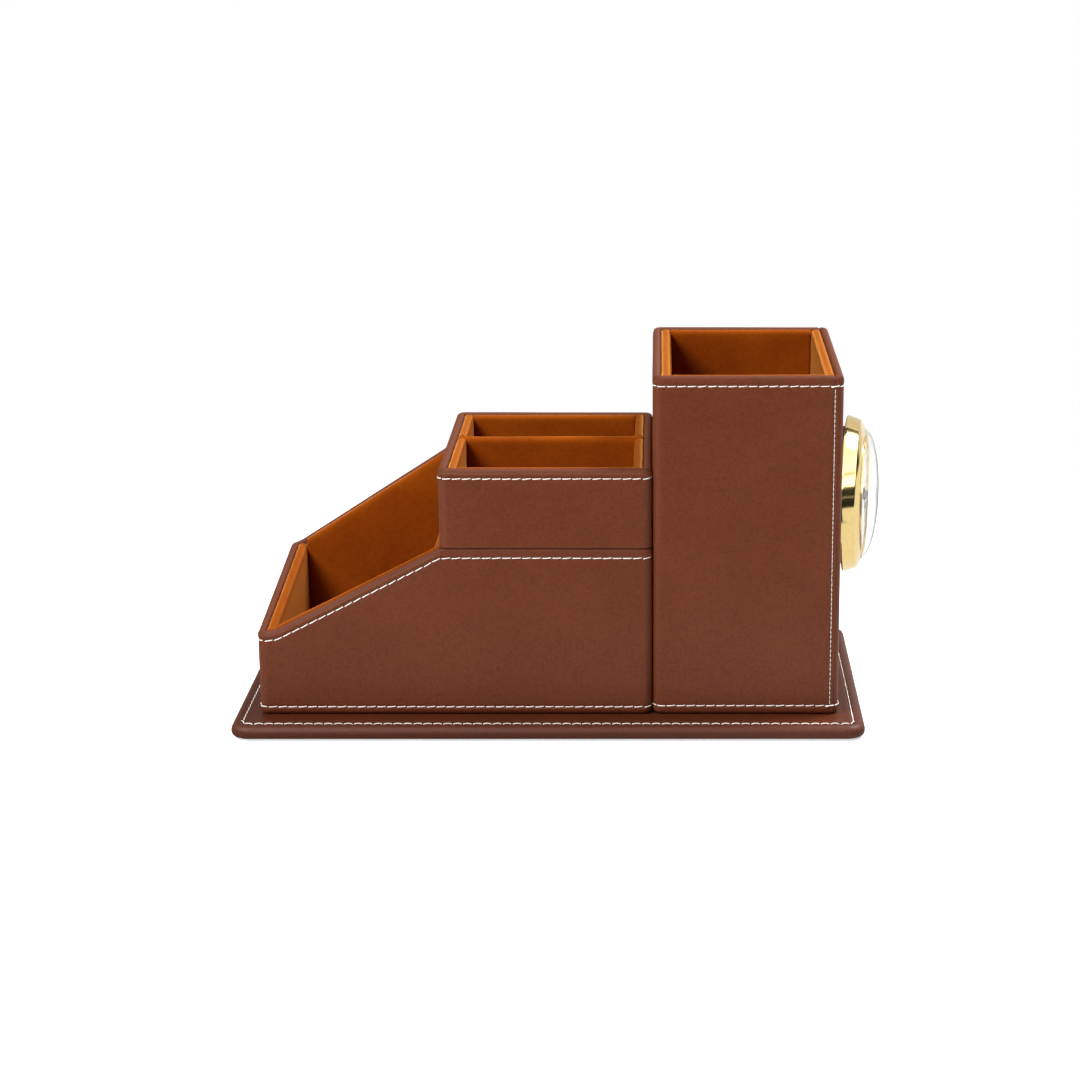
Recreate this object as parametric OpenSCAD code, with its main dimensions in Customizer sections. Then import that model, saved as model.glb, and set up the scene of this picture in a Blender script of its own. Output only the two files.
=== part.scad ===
// Desk organizer in stitched leather: a tray with sloping sides, a caddy that lifts out of the
// lower case, and a pen tower with a round clock in its side, all on one leather-covered base.
// +X runs along the organizer from the tray to the clock, +Y away from the user, +Z up.
// The origin is the centre of the underside. Millimetres.

/* [Base plate] */
// Length of the base plate
base_length = 272; // [265:1:340]
// Depth of the base plate, front to back
base_depth = 146; // [120:1:180]
// Thickness of the base plate with its felt
base_thickness = 6.5; // [5.5:0.5:12]
// Corner radius of the base plate seen from above
base_corner_radius = 8; // [4:0.5:20]
// Thickness of the felt under the base
felt_thickness = 0.7; // [0.5:0.1:1.5]
// How far the felt stays back from the base plate's edge
felt_margin = 5; // [3:0.5:10]

/* [Boxes] */
// Depth of all three boxes, front to back
box_depth = 112; // [93:1:136]
// Length of the tray
tray_length = 78.7; // [60:0.1:95]
// Length of the storage well that the caddy closes
well_length = 90.8; // [75:0.1:105]
// Length of the pen tower
tower_length = 80; // [78:1:96]
// Gap between the lower case and the pen tower
tower_gap = 0.5; // [0.3:0.1:4]
// Radius inside the leather at the caddy's upright corners
inner_corner_radius = 0.05; // [0.05:0.05:2]

/* [Heights above the base plate] */
// Rim of the tray at its near left corner
tray_front_height = 37.2; // [25:0.1:45]
// Rim of the tray at its far left corner
tray_back_height = 46.7; // [30:0.1:56]
// Rim of the lower case at the front, where the caddy starts
seam_height = 74; // [65:0.5:88]
// Rim of the lower case's back panel behind the caddy
back_panel_height = 95.5; // [90:0.5:100]
// Rim of the caddy
caddy_height = 109; // [105:0.5:130]
// Rim of the pen tower
tower_height = 149; // [124:1:180]

/* [Walls] */
// Thickness of a leather-covered wall of the case and the tower
wall_thickness = 3.3; // [2.7:0.05:3.6]
// Thickness of the leather
leather_thickness = 0.8; // [0.6:0.1:0.9]
// How far the leather turns down inside a rim, and in under a box
leather_turn = 12; // [8:1:15]
// Thickness of a suede-lined panel
lining_thickness = 4.5; // [3.5:0.1:5.4]
// Thickness of the board in a box's floor
floor_board = 2.5; // [2:0.1:4]
// Thickness of a suede floor pad
floor_pad = 2; // [1:0.1:4]

/* [Caddy] */
// How deep the caddy's skirt drops into the case
skirt_depth = 14; // [8:1:20]
// Clearance between the skirt and the case on each side
skirt_clearance = 0.4; // [0.3:0.05:0.6]
// Clearance between the caddy's outer wall and the rims around it
joint_gap = 0.3; // [0.2:0.05:0.5]
// Thickness of the divider
divider_thickness = 5; // [3:0.1:6]
// Distance of the divider behind the middle of the box
divider_offset = 7; // [-20:1:20]

/* [Clock] */
// Diameter of the bezel
bezel_diameter = 69.4; // [57:0.2:84]
// How far the clock's flange overlaps the edge of its bore
flange_overlap = 2.7; // [1.5:0.1:4]
// Radial clearance between the rubber ring and its bore
clock_clearance = 0.3; // [0.2:0.05:0.5]
// Height of the clock's centre above the base plate
clock_height = 85.5; // [60:0.5:100]
// Distance of the clock's centre in front of the middle of the tower
clock_forward = 4; // [-8:1:8]
// Angle by which the clock is turned towards the user
clock_turn = 8; // [0:1:10]
// Depth of the clock's case behind its flange
clock_depth = 17; // [14:0.5:22]
// Height of the bezel
bezel_height = 7.3; // [5:0.1:9]
// Height of the domed lens above its seat
dome_height = 7; // [5:0.1:9]
// Radial running clearance of the hands' pipes and arbors
arbor_clearance = 0.07; // [0.05:0.01:0.1]
// Hour shown
hour_shown = 5; // [0:1:11]
// Minute shown
minute_shown = 46; // [0:1:59]
// Second shown
second_shown = 44; // [0:1:59]

/* [Hidden] */
$fn = 48;

leather_color = "#6b3a29";
lining_color = "#e0954a";
board_color = "#c9b08a";
felt_color = "#3a2a22";
gold_color = "#d9b45a";
black_color = "#1c1c1e";
dial_color = "#f6f5f0";
hand_color = "#6e6e70";
glass_color = "#dfe8ea";
steel_color = "#b8babd";

// A length longer than the organizer, for cutting solids
beyond = 400;

// Places along X of the boxes, which stand centred on the base plate
case_length = tray_length + well_length;
boxes_length = case_length + tower_gap + tower_length;
case_left = -boxes_length / 2;
well_left = case_left + tray_length;
case_right = case_left + case_length;
tower_left = case_right + tower_gap;
tower_right = tower_left + tower_length;
box_front = -box_depth / 2;
box_back = box_depth / 2;

// Inner faces of the covered walls, and of the linings on them
inner_front = box_front + wall_thickness;
inner_back = box_back - wall_thickness;
lined_front = inner_front + lining_thickness;
lined_back = inner_back - lining_thickness;

// Floor levels above the base plate
board_bottom = leather_thickness;
pad_bottom = board_bottom + floor_board;
pad_top = pad_bottom + floor_pad;
ledge_height = seam_height - skirt_depth;

// The tray's right lining stands a little proud of the rim beside the caddy
lining_proud = 2;

// The caddy's wall is thicker by the skirt's clearance, so that its linings clear the case
caddy_wall = wall_thickness + skirt_clearance;
// Outer radius of the boxes' upright corners
corner_radius = caddy_wall + inner_corner_radius;
// How far the tray's rim runs level from its left corners before it rises
level_run = 3;
rise_start = corner_radius + level_run;
// The side linings stop short of the round corners inside the leather
corner_relief = corner_radius - wall_thickness;
side_front = inner_front + corner_relief;
side_back = inner_back - corner_relief;
caddy_lining = lining_thickness - skirt_clearance;
caddy_left = well_left + joint_gap;
caddy_length = case_right - caddy_left;
skirt_left = caddy_left + caddy_wall;
skirt_right = case_right - caddy_wall;
skirt_front = box_front + caddy_wall;
skirt_back = box_back - caddy_wall;
caddy_pad_bottom = ledge_height + floor_board;

// The clock's own frame: its origin is the back of the flange, +Z along its axis
flange_inset = 1;
flange_radius = bezel_diameter / 2 - flange_inset;
flange_thickness = 1;
flange_offset = flange_radius * sin(clock_turn) + joint_gap;
rib_height = 0.9;
bore_radius = flange_radius - flange_overlap;
barrel_radius = bore_radius - clock_clearance - rib_height;
neck_inset = 7.8;
neck_radius = bezel_diameter / 2 - neck_inset;
case_wall = 1.3;
case_floor = 1.2;
bezel_top = flange_thickness + bezel_height;
ledge_width = 1.4;
ledge_thickness = 0.8;
// The lens seats a little below the bezel's rim, and the dial a little below the lens
rim_lip = 0.6;
fit_gap = 0.1;
rim_radius = neck_radius + ledge_width + 0.3;
ring_radius = neck_radius - 0.5;
ring_bore = ring_radius - ledge_width;
lens_seat = bezel_top - rim_lip;
dial_seat = lens_seat - fit_gap;
dial_thickness = 0.4;
dial_top = dial_seat + dial_thickness;
lens_wall = 1.6;
lens_crown = 1.4;
// The movement's corners stay clear of the case around it
case_bore = neck_radius - case_wall;
movement_clearance = 2.2;
movement_corner = 40;
movement_length = 2 * (case_bore - movement_clearance) * cos(movement_corner);
movement_width = 2 * (case_bore - movement_clearance) * sin(movement_corner);
movement_bottom = -clock_depth + case_floor;
// The arbors turn in the top three millimetres of the movement
arbor_depth = 3;
arbor_foot = 1;
bush_top = dial_top + 0.4;
bush_radius = 2.7;
pipe_wall = 0.6;
bush_bore = bush_radius - pipe_wall;
hour_pipe = bush_bore - arbor_clearance;
hour_bore = hour_pipe - pipe_wall;
minute_pipe = hour_bore - arbor_clearance;
minute_bore = minute_pipe - pipe_wall;
second_pin = minute_bore - arbor_clearance;
hand_thickness = 0.3;
hand_spacing = 0.3;
hand_hub = 1.1;
hour_level = bush_top + 0.2;
minute_level = hour_level + hand_thickness + hand_spacing;
second_level = minute_level + hand_thickness + hand_spacing;
minute_length = ring_bore - 5;
second_length = ring_bore - 4.5;
hour_length = 0.65 * minute_length;
knob_radius = 3.2;
knob_height = 2.2;
knob_arbor = 1;
knob_offset = movement_length / 2 - 7;
cell_radius = 5.8;
cell_offset = 8 - movement_length / 2;
cell_clearance = 0.3;
cell_height = 5.4;

// Rounded rectangle centred on the origin
module rounded_rect(length, depth, radius) {
    square([length - 2 * radius, depth], center = true);
    square([length, depth - 2 * radius], center = true);
    for (x = [-1, 1], y = [-1, 1])
        translate([x * (length / 2 - radius), y * (depth / 2 - radius)])
            circle(radius);
}

// Sweeps a profile around a rounded rectangle: the profile's x runs inwards from the outline
module around(length, depth, radius) {
    for (turn = [0, 180]) rotate(turn) {
        translate([-(length / 2 - radius), -depth / 2, 0])
            rotate([90, 0, 90])
                linear_extrude(length - 2 * radius) children();
        translate([length / 2, -(depth / 2 - radius), 0])
            rotate([90, 0, 180])
                linear_extrude(depth - 2 * radius) children();
        for (side = [-1, 1])
            translate([length / 2 - radius, side * (depth / 2 - radius), 0])
                rotate(side < 0 ? -90 : 0)
                    rotate_extrude(angle = 90)
                        translate([radius, 0]) mirror([1, 0]) children();
    }
}

// How much slimmer a rim's every second run is, so that its mitres show as fine creases
crease = 0.03;

// An upright panel on the XZ plane with a round rim along a line of points, and a round or a
// flat foot. The line and the foot are the middles of the round edges. The panel is made in
// runs that meet in mitres.
module rimmed_panel(line, radius, foot, round_foot = true) {
    last = len(line) - 1;
    start = line[0][0];
    end = line[last][0];
    function heading(i) = let (run = line[i] - line[i - 1]) atan2(run[1], run[0]);
    function mitre(i) =
        let (tilt = i == 0 || i == last ? 0 : (heading(i) + heading(i + 1)) / 2)
        [-tan(tilt), 1];
    function above(i) = line[i] + 2 * radius * mitre(i);
    function below(i) = line[i] - (line[i][1] - foot) * mitre(i);
    function run_radius(i) = i % 2 == 0 ? radius - crease : radius;
    for (i = [1:last]) intersection() {
        translate([line[i][0], 0, line[i][1]])
            rotate([0, 90 - heading(i), 0])
                linear_extrude(beyond, center = true) {
                    circle(run_radius(i));
                    translate([0, -run_radius(i)]) square([beyond, 2 * run_radius(i)]);
                }
        rotate([90, 0, 0])
            linear_extrude(4 * radius, center = true)
                polygon([above(i - 1), above(i), below(i), below(i - 1)]);
    }
    if (round_foot)
        translate([start, 0, foot]) rotate([0, 90, 0]) cylinder(r = radius, h = end - start);
}

// A box's walls are a list: its length, the walls' thickness, the rims as lists of [place, height]
// for the front, right, back and left, and whether its foot is round
LENGTH = 0;
WALL = 1;
RIMS = 2;
ROUND_FOOT = 3;

// The height of a rim at one of the box's corners, counted from the near left one
function corner_height(box, corner) =
    let (rim = box[RIMS][corner < 2 ? 0 : 2])
    rim[corner == 0 || corner == 3 ? 0 : len(rim) - 1][1];

// The middle of a wall's foot: inset 0 gives the leather's outside, a larger inset the boards
function foot_middle(box, inset) = box[ROUND_FOOT] ? box[WALL] / 2 : inset;
function middles(box, rim) = [for (point = rim) [point[0], point[1] - box[WALL] / 2]];

// Places children on the front, right, back or left wall, with +Y inwards
module at_wall(box, side) {
    half = box[WALL] / 2;
    if (side == 0) translate([0, half, 0]) children();
    if (side == 1) translate([box[LENGTH] - half, 0, 0]) rotate(90) children();
    if (side == 2) translate([0, box_depth - half, 0]) mirror([0, 1, 0]) children();
    if (side == 3) translate([half, 0, 0]) rotate(90) mirror([0, 1, 0]) children();
}

// Places children at one of the box's corners, for an outline from angle 0 to 90 degrees
module at_corner(box, corner) {
    x = corner == 0 || corner == 3 ? corner_radius : box[LENGTH] - corner_radius;
    y = corner < 2 ? corner_radius : box_depth - corner_radius;
    translate([x, y, 0]) rotate(180 + 90 * corner) children();
}

module wall_panel(box, side, inset) {
    rimmed_panel(middles(box, box[RIMS][side]), box[WALL] / 2 - inset, foot_middle(box, inset),
                 box[ROUND_FOOT]);
}

module corner_section(box, corner, inset) {
    radius = box[WALL] / 2 - inset;
    mid = corner_radius - box[WALL] / 2;
    foot = foot_middle(box, inset);
    top = corner_height(box, corner) - box[WALL] / 2;
    translate([mid - radius, foot]) square([2 * radius, top - foot]);
    translate([mid, top]) circle(radius);
    if (box[ROUND_FOOT]) translate([mid, foot]) circle(radius);
}

// The front board has side 0 and the back board side 2; both round the corners
module lapping_board(box, side) {
    at_wall(box, side) wall_panel(box, side, leather_thickness);
    for (corner = [side, side + 1])
        at_corner(box, corner)
            rotate_extrude(angle = 90) corner_section(box, corner, leather_thickness);
}

// The right board has side 1 and the left board side 3; both butt between the others
module butting_board(box, side) {
    at_wall(box, side) wall_panel(box, side, leather_thickness);
}

// The leather hugs the boards outside, rolls over the rim and turns down a little way inside
module wall_leather(box, side) {
    line = middles(box, box[RIMS][side]);
    first = line[0];
    last = line[len(line) - 1];
    turned = concat([[first[0] - 1, first[1]]], line, [[last[0] + 1, last[1]]]);
    at_wall(box, side) difference() {
        wall_panel(box, side, 0);
        wall_panel(box, side, leather_thickness);
        rotate([90, 0, 0])
            mirror([0, 0, 1])
                linear_extrude(box[WALL])
                    polygon(concat([[first[0] - 1, -1]],
                                   [for (point = turned) point - [0, leather_turn]],
                                   [[last[0] + 1, -1]]));
    }
}

module corner_leather(box, corner) {
    half = box[WALL] / 2;
    at_corner(box, corner) rotate_extrude(angle = 90) difference() {
        corner_section(box, corner, 0);
        corner_section(box, corner, leather_thickness);
        translate([0, -1])
            square([corner_radius - half, corner_height(box, corner) - half - leather_turn + 1]);
    }
}

// The walls of the lower case
case_near = corner_radius;
case_end = case_length - corner_radius;
case_far = box_depth - corner_radius;
case_box = [
    case_length, wall_thickness,
    [
        [[case_near, tray_front_height], [rise_start, tray_front_height],
         [tray_length, seam_height], [case_end, seam_height]],
        [[case_near, seam_height], [case_far, seam_height]],
        [[case_near, tray_back_height], [rise_start, tray_back_height],
         [tray_length, back_panel_height], [case_end, back_panel_height]],
        [[case_near, tray_front_height], [rise_start, tray_front_height],
         [box_depth - rise_start, tray_back_height], [case_far, tray_back_height]]
    ],
    true
];

// Walls with a level rim, for the tower and the caddy
function level_box(length, height, wall, round_foot) =
    let (along = [[corner_radius, height], [length - corner_radius, height]],
         across = [[corner_radius, height], [box_depth - corner_radius, height]])
    [length, wall, [along, across, along, across], round_foot];

tower_box = level_box(tower_length, tower_height, wall_thickness, true);
caddy_box = level_box(caddy_length, caddy_height - seam_height - joint_gap, caddy_wall, false);

// Places children at the near left corner of a box that starts at x, on the base plate
module on_base(x) {
    translate([x, box_front, base_thickness]) children();
}

// A flange of leather turned in under a box, from the middle of its round foot
module turned_under(length) {
    edge = wall_thickness / 2;
    inner = leather_turn + edge;
    linear_extrude(leather_thickness) difference() {
        translate([edge, edge]) square([length - 2 * edge, box_depth - 2 * edge]);
        translate([inner, inner]) square([length - 2 * inner, box_depth - 2 * inner]);
    }
}

// A board or pad that lies in a box, between two places in X and two in Y
module slab(x, y, z) {
    translate([x[0], y[0], base_thickness + z[0]])
        cube([x[1] - x[0], y[1] - y[0], z[1] - z[0]]);
}

// A suede-lined panel that stands along X, with a padded round top
module lining_along(x, y, line, bottom, thickness) {
    middles = [for (point = line) [point[0], point[1] - thickness / 2]];
    intersection() {
        translate([0, y + thickness / 2, base_thickness])
            rimmed_panel(middles, thickness / 2, bottom, false);
        translate([x[0], -beyond / 2, 0]) cube([x[1] - x[0], beyond, beyond]);
    }
}

// A suede-lined panel that stands along Y, with a padded round top
module lining_across(x, line, bottom, thickness) {
    middles = [for (point = line) [point[0], point[1] - thickness / 2]];
    translate([x + thickness / 2, 0, base_thickness])
        rotate(90) rimmed_panel(middles, thickness / 2, bottom, false);
}

// Turns the clock's own frame into its place in the tower's right wall
module clock_place() {
    translate([tower_right, -clock_forward, base_thickness + clock_height])
        rotate(-clock_turn)
            translate([flange_offset / cos(clock_turn), 0, 0]) rotate([0, 90, 0]) children();
}

// The bore for the clock, longer than any wall that it passes
module clock_bore() {
    clock_place() translate([0, 0, -beyond / 8]) cylinder(r = bore_radius, h = beyond / 4);
}

// A line along a rim that rises to the well, run on past both of its ends
function rising_line(low, high) =
    let (past = lining_thickness, slope = (high - low) / (tray_length - rise_start))
    [[case_left, low - rise_start * slope], [well_left + past, high + past * slope]];

// The base plate's rolled edge: its height, and the shares of it in the top and the foot round
base_edge = base_thickness - felt_thickness;
base_top_share = 0.55;
base_foot_share = 0.35;

// Corner radius of the flat middle of the base plate, and how far its edge section reaches in
base_middle_radius = 0.5;
base_reach = base_corner_radius - base_middle_radius;

// The base plate's edge section: inset 0 is the leather's outside
module base_edge_section(inset) {
    top_round = base_edge * base_top_share - inset;
    foot_round = base_edge * base_foot_share - inset;
    translate([inset, felt_thickness + inset + foot_round])
        square([base_reach - inset, base_edge - 2 * inset - foot_round - top_round]);
    translate([inset + top_round, felt_thickness + inset])
        square([base_reach - inset - top_round, base_edge - 2 * inset]);
    translate([inset + foot_round, felt_thickness + inset])
        square([top_round - foot_round, base_edge / 2]);
    translate([inset + top_round, base_thickness - inset - top_round]) circle(top_round);
    translate([inset + foot_round, felt_thickness + inset + foot_round]) circle(foot_round);
}

module base_body(inset) {
    around(base_length, base_depth, base_corner_radius) base_edge_section(inset);
    translate([0, 0, felt_thickness + inset])
        linear_extrude(base_edge - 2 * inset)
            rounded_rect(base_length - 2 * base_reach, base_depth - 2 * base_reach,
                         base_middle_radius);
}

module base_board() {
    color(board_color) base_body(leather_thickness);
}

module base_leather_cover() {
    window = leather_turn + felt_margin;
    color(leather_color) difference() {
        base_body(0);
        base_body(leather_thickness);
        linear_extrude(felt_thickness + leather_thickness + 0.01)
            square([base_length - 2 * window, base_depth - 2 * window], center = true);
    }
}

module base_felt() {
    window = leather_turn + felt_margin;
    color(felt_color) {
        linear_extrude(felt_thickness)
            rounded_rect(base_length - 2 * felt_margin, base_depth - 2 * felt_margin,
                         base_corner_radius - felt_margin / 2);
        linear_extrude(felt_thickness + leather_thickness)
            square([base_length - 2 * window, base_depth - 2 * window], center = true);
    }
}

module case_bottom_board() {
    color(board_color)
        slab([case_left + wall_thickness, case_right - wall_thickness], [inner_front, inner_back],
             [board_bottom, pad_bottom]);
}

module case_front_board() {
    color(board_color) on_base(case_left) lapping_board(case_box, 0);
}

module case_back_board() {
    color(board_color) on_base(case_left) lapping_board(case_box, 2);
}

module case_left_board() {
    color(board_color) on_base(case_left) butting_board(case_box, 3);
}

module case_right_board() {
    color(board_color) on_base(case_left) butting_board(case_box, 1);
}

module case_partition() {
    color(leather_color)
        slab([well_left, well_left + wall_thickness], [inner_front, inner_back],
             [pad_bottom, seam_height]);
}

module case_leather_cover() {
    color(leather_color) on_base(case_left) {
        for (side = [0:3]) {
            wall_leather(case_box, side);
            corner_leather(case_box, side);
        }
        turned_under(case_length);
    }
}

tray_lined_left = case_left + wall_thickness + lining_thickness;
tray_lined_right = well_left - lining_thickness;

module tray_front_lining() {
    color(lining_color)
        lining_along([tray_lined_left, well_left], inner_front,
                     rising_line(tray_front_height, seam_height), pad_bottom, lining_thickness);
}

module tray_back_lining() {
    color(lining_color)
        lining_along([tray_lined_left, well_left], lined_back,
                     rising_line(tray_back_height, back_panel_height), pad_bottom,
                     lining_thickness);
}

module tray_left_lining() {
    color(lining_color)
        lining_across(case_left + wall_thickness,
                      [[side_front, tray_front_height],
                       [box_front + rise_start, tray_front_height],
                       [box_back - rise_start, tray_back_height],
                       [side_back, tray_back_height]],
                      pad_bottom, lining_thickness);
}

module tray_right_lining() {
    color(lining_color)
        lining_across(tray_lined_right,
                      [[lined_front, seam_height + lining_proud],
                       [lined_back, seam_height + lining_proud]],
                      pad_bottom, lining_thickness);
}

module tray_floor_pad() {
    color(lining_color)
        slab([tray_lined_left, tray_lined_right], [lined_front, lined_back],
             [pad_bottom, pad_top]);
}

well_inner_left = well_left + wall_thickness;
well_inner_right = case_right - wall_thickness;
well_lined_left = well_inner_left + lining_thickness;
well_lined_right = well_inner_right - lining_thickness;

module well_front_lining() {
    color(lining_color)
        slab([well_lined_left, well_lined_right], [inner_front, lined_front],
             [pad_bottom, ledge_height]);
}

module well_back_lining() {
    color(lining_color)
        slab([well_lined_left, well_lined_right], [lined_back, inner_back],
             [pad_bottom, ledge_height]);
}

module well_left_lining() {
    color(lining_color)
        slab([well_inner_left, well_lined_left], [side_front, side_back],
             [pad_bottom, ledge_height]);
}

module well_right_lining() {
    color(lining_color)
        slab([well_lined_right, well_inner_right], [side_front, side_back],
             [pad_bottom, ledge_height]);
}

module well_floor_pad() {
    color(lining_color)
        slab([well_lined_left, well_lined_right], [lined_front, lined_back],
             [pad_bottom, pad_top]);
}

// The caddy's outer walls start above the seam
module on_seam() {
    translate([caddy_left, box_front, base_thickness + seam_height + joint_gap]) children();
}

// Behind, they are cut away where the case's back panel stands higher than the seam
module back_notch(inset) {
    setback = corner_radius + joint_gap + inset;
    translate([-1, box_depth - setback, -1])
        cube([caddy_length + 2, setback + 1, back_panel_height - seam_height + inset + 1]);
}

module caddy_front_board() {
    color(board_color) on_seam() lapping_board(caddy_box, 0);
}

module caddy_back_board() {
    color(board_color) on_seam() difference() {
        lapping_board(caddy_box, 2);
        back_notch(leather_thickness);
    }
}

module caddy_left_board() {
    color(board_color) on_seam() difference() {
        butting_board(caddy_box, 3);
        back_notch(leather_thickness);
    }
}

module caddy_right_board() {
    color(board_color) on_seam() difference() {
        butting_board(caddy_box, 1);
        back_notch(leather_thickness);
    }
}

module caddy_walls(inset) {
    difference() {
        for (side = [0:3]) {
            at_wall(caddy_box, side) wall_panel(caddy_box, side, inset);
            at_corner(caddy_box, side)
                rotate_extrude(angle = 90) corner_section(caddy_box, side, inset);
        }
        back_notch(inset);
    }
}

module caddy_leather_cover() {
    color(leather_color) on_seam() difference() {
        caddy_walls(0);
        caddy_walls(leather_thickness);
    }
}

module caddy_floor_board() {
    color(board_color)
        slab([skirt_left, skirt_right], [skirt_front, skirt_back],
             [ledge_height, caddy_pad_bottom]);
}

caddy_lined_left = skirt_left + caddy_lining;
caddy_lined_right = skirt_right - caddy_lining;
caddy_lined_front = skirt_front + caddy_lining;
caddy_lined_back = skirt_back - caddy_lining;
divider_front = divider_offset - divider_thickness / 2;
divider_back = divider_offset + divider_thickness / 2;

module caddy_front_lining() {
    span = [caddy_lined_left, caddy_lined_right];
    color(lining_color)
        lining_along(span, skirt_front, [[span[0], caddy_height], [span[1], caddy_height]],
                     caddy_pad_bottom, caddy_lining);
}

module caddy_back_lining() {
    span = [caddy_lined_left, caddy_lined_right];
    color(lining_color)
        lining_along(span, caddy_lined_back, [[span[0], caddy_height], [span[1], caddy_height]],
                     caddy_pad_bottom, caddy_lining);
}

// The side linings of the near and of the far compartment butt against the divider
module caddy_side_lining(x, y) {
    color(lining_color)
        lining_across(x, [[y[0], caddy_height], [y[1], caddy_height]], caddy_pad_bottom,
                      caddy_lining);
}

module caddy_near_left_lining() {
    caddy_side_lining(skirt_left, [skirt_front + inner_corner_radius, divider_front]);
}

module caddy_near_right_lining() {
    caddy_side_lining(caddy_lined_right, [skirt_front + inner_corner_radius, divider_front]);
}

module caddy_far_left_lining() {
    caddy_side_lining(skirt_left, [divider_back, skirt_back - inner_corner_radius]);
}

module caddy_far_right_lining() {
    caddy_side_lining(caddy_lined_right, [divider_back, skirt_back - inner_corner_radius]);
}

module caddy_divider() {
    span = [skirt_left, skirt_right];
    color(lining_color)
        lining_along(span, divider_front, [[span[0], caddy_height], [span[1], caddy_height]],
                     caddy_pad_bottom, divider_thickness);
}

module caddy_near_floor_pad() {
    color(lining_color)
        slab([caddy_lined_left, caddy_lined_right], [caddy_lined_front, divider_front],
             [caddy_pad_bottom, caddy_pad_bottom + floor_pad]);
}

module caddy_far_floor_pad() {
    color(lining_color)
        slab([caddy_lined_left, caddy_lined_right], [divider_back, caddy_lined_back],
             [caddy_pad_bottom, caddy_pad_bottom + floor_pad]);
}

module tower_bottom_board() {
    color(board_color)
        slab([tower_left + wall_thickness, tower_right - wall_thickness], [inner_front, inner_back],
             [board_bottom, pad_bottom]);
}

module tower_front_board() {
    color(board_color) on_base(tower_left) lapping_board(tower_box, 0);
}

module tower_back_board() {
    color(board_color) on_base(tower_left) lapping_board(tower_box, 2);
}

module tower_left_board() {
    color(board_color) on_base(tower_left) butting_board(tower_box, 3);
}

module tower_right_board() {
    color(board_color) difference() {
        on_base(tower_left) butting_board(tower_box, 1);
        clock_bore();
    }
}

// The leather's strip turned in under the tower, on one side of the seam
module tower_turned_under(x) {
    intersection() {
        turned_under(tower_length);
        translate([x[0], 0, -1]) cube([x[1] - x[0], box_depth, leather_thickness + 2]);
    }
}

// Two hides meet at an upright stitched seam near the right edge of the front and the back
tower_seam = tower_length - corner_radius;

module tower_wrap_leather() {
    color(leather_color) on_base(tower_left) {
        for (side = [0, 2, 3]) wall_leather(tower_box, side);
        for (corner = [0, 3]) corner_leather(tower_box, corner);
        tower_turned_under([0, tower_seam]);
    }
}

module tower_clock_side_leather() {
    color(leather_color) difference() {
        on_base(tower_left) {
            wall_leather(tower_box, 1);
            for (corner = [1, 2]) corner_leather(tower_box, corner);
            tower_turned_under([tower_seam, tower_length]);
        }
        clock_bore();
    }
}

tower_lined_left = tower_left + wall_thickness + lining_thickness;
tower_lined_right = tower_right - wall_thickness - lining_thickness;

module tower_front_lining() {
    span = [tower_lined_left, tower_lined_right];
    color(lining_color)
        lining_along(span, inner_front, [[span[0], tower_height], [span[1], tower_height]],
                     pad_bottom, lining_thickness);
}

module tower_back_lining() {
    span = [tower_lined_left, tower_lined_right];
    color(lining_color)
        lining_along(span, lined_back, [[span[0], tower_height], [span[1], tower_height]],
                     pad_bottom, lining_thickness);
}

module tower_left_lining() {
    color(lining_color)
        lining_across(tower_left + wall_thickness,
                      [[side_front, tower_height], [side_back, tower_height]],
                      pad_bottom, lining_thickness);
}

module tower_right_lining() {
    color(lining_color) difference() {
        lining_across(tower_lined_right,
                      [[side_front, tower_height], [side_back, tower_height]],
                      pad_bottom, lining_thickness);
        clock_bore();
    }
}

module tower_floor_pad() {
    color(lining_color)
        slab([tower_lined_left, tower_lined_right], [lined_front, lined_back],
             [pad_bottom, pad_top]);
}

// The case is a stepped cup: a barrel in the wall, a flange, and a neck that carries the dial
module clock_case() {
    color(black_color) clock_place() difference() {
        rotate_extrude()
            polygon([[0, -clock_depth], [barrel_radius, -clock_depth], [barrel_radius, 0],
                     [flange_radius, 0], [flange_radius, flange_thickness],
                     [neck_radius, flange_thickness], [neck_radius, dial_seat],
                     [case_bore, dial_seat], [case_bore, movement_bottom],
                     [0, movement_bottom]]);
        translate([knob_offset, 0, -clock_depth - 1])
            cylinder(r = knob_arbor + arbor_clearance, h = case_floor + 2);
        translate([cell_offset, 0, -clock_depth - 1])
            cylinder(r = cell_radius + cell_clearance, h = case_floor + 2);
    }
}

// A pressed metal ring: a cone, a steeper bevel, and a ledge inside that the lens sits on
module clock_bezel() {
    edge = bezel_diameter / 2;
    shoulder = edge - 2.2;
    shoulder_height = flange_thickness + bezel_height * 0.7;
    sheet = 1.1;
    ledge_inner = rim_radius - ledge_width;
    ledge_bottom = lens_seat - ledge_thickness;
    color(gold_color) clock_place() rotate_extrude($fn = 96)
        polygon([[edge - sheet, flange_thickness], [edge, flange_thickness],
                 [edge, flange_thickness + rim_lip], [shoulder, shoulder_height],
                 [rim_radius, bezel_top], [rim_radius, lens_seat], [ledge_inner, lens_seat],
                 [ledge_inner, ledge_bottom], [rim_radius, ledge_bottom],
                 [shoulder - sheet, shoulder_height - sheet]]);
}

// Half an ellipse from its rim to its top, as points of a section
function dome_curve(radius, height, base, steps = 14) =
    [for (i = [0:steps]) let (a = 90 * i / steps) [radius * cos(a), base + height * sin(a)]];

module clock_lens() {
    outer = rim_radius - fit_gap / 2;
    color(glass_color, 0.4) clock_place() rotate_extrude($fn = 96) difference() {
        polygon(concat([[0, lens_seat]], dome_curve(outer, dome_height, lens_seat)));
        polygon(concat([[0, lens_seat - 1], [outer - lens_wall, lens_seat - 1]],
                       dome_curve(outer - lens_wall, dome_height - lens_crown, lens_seat)));
    }
}

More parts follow.
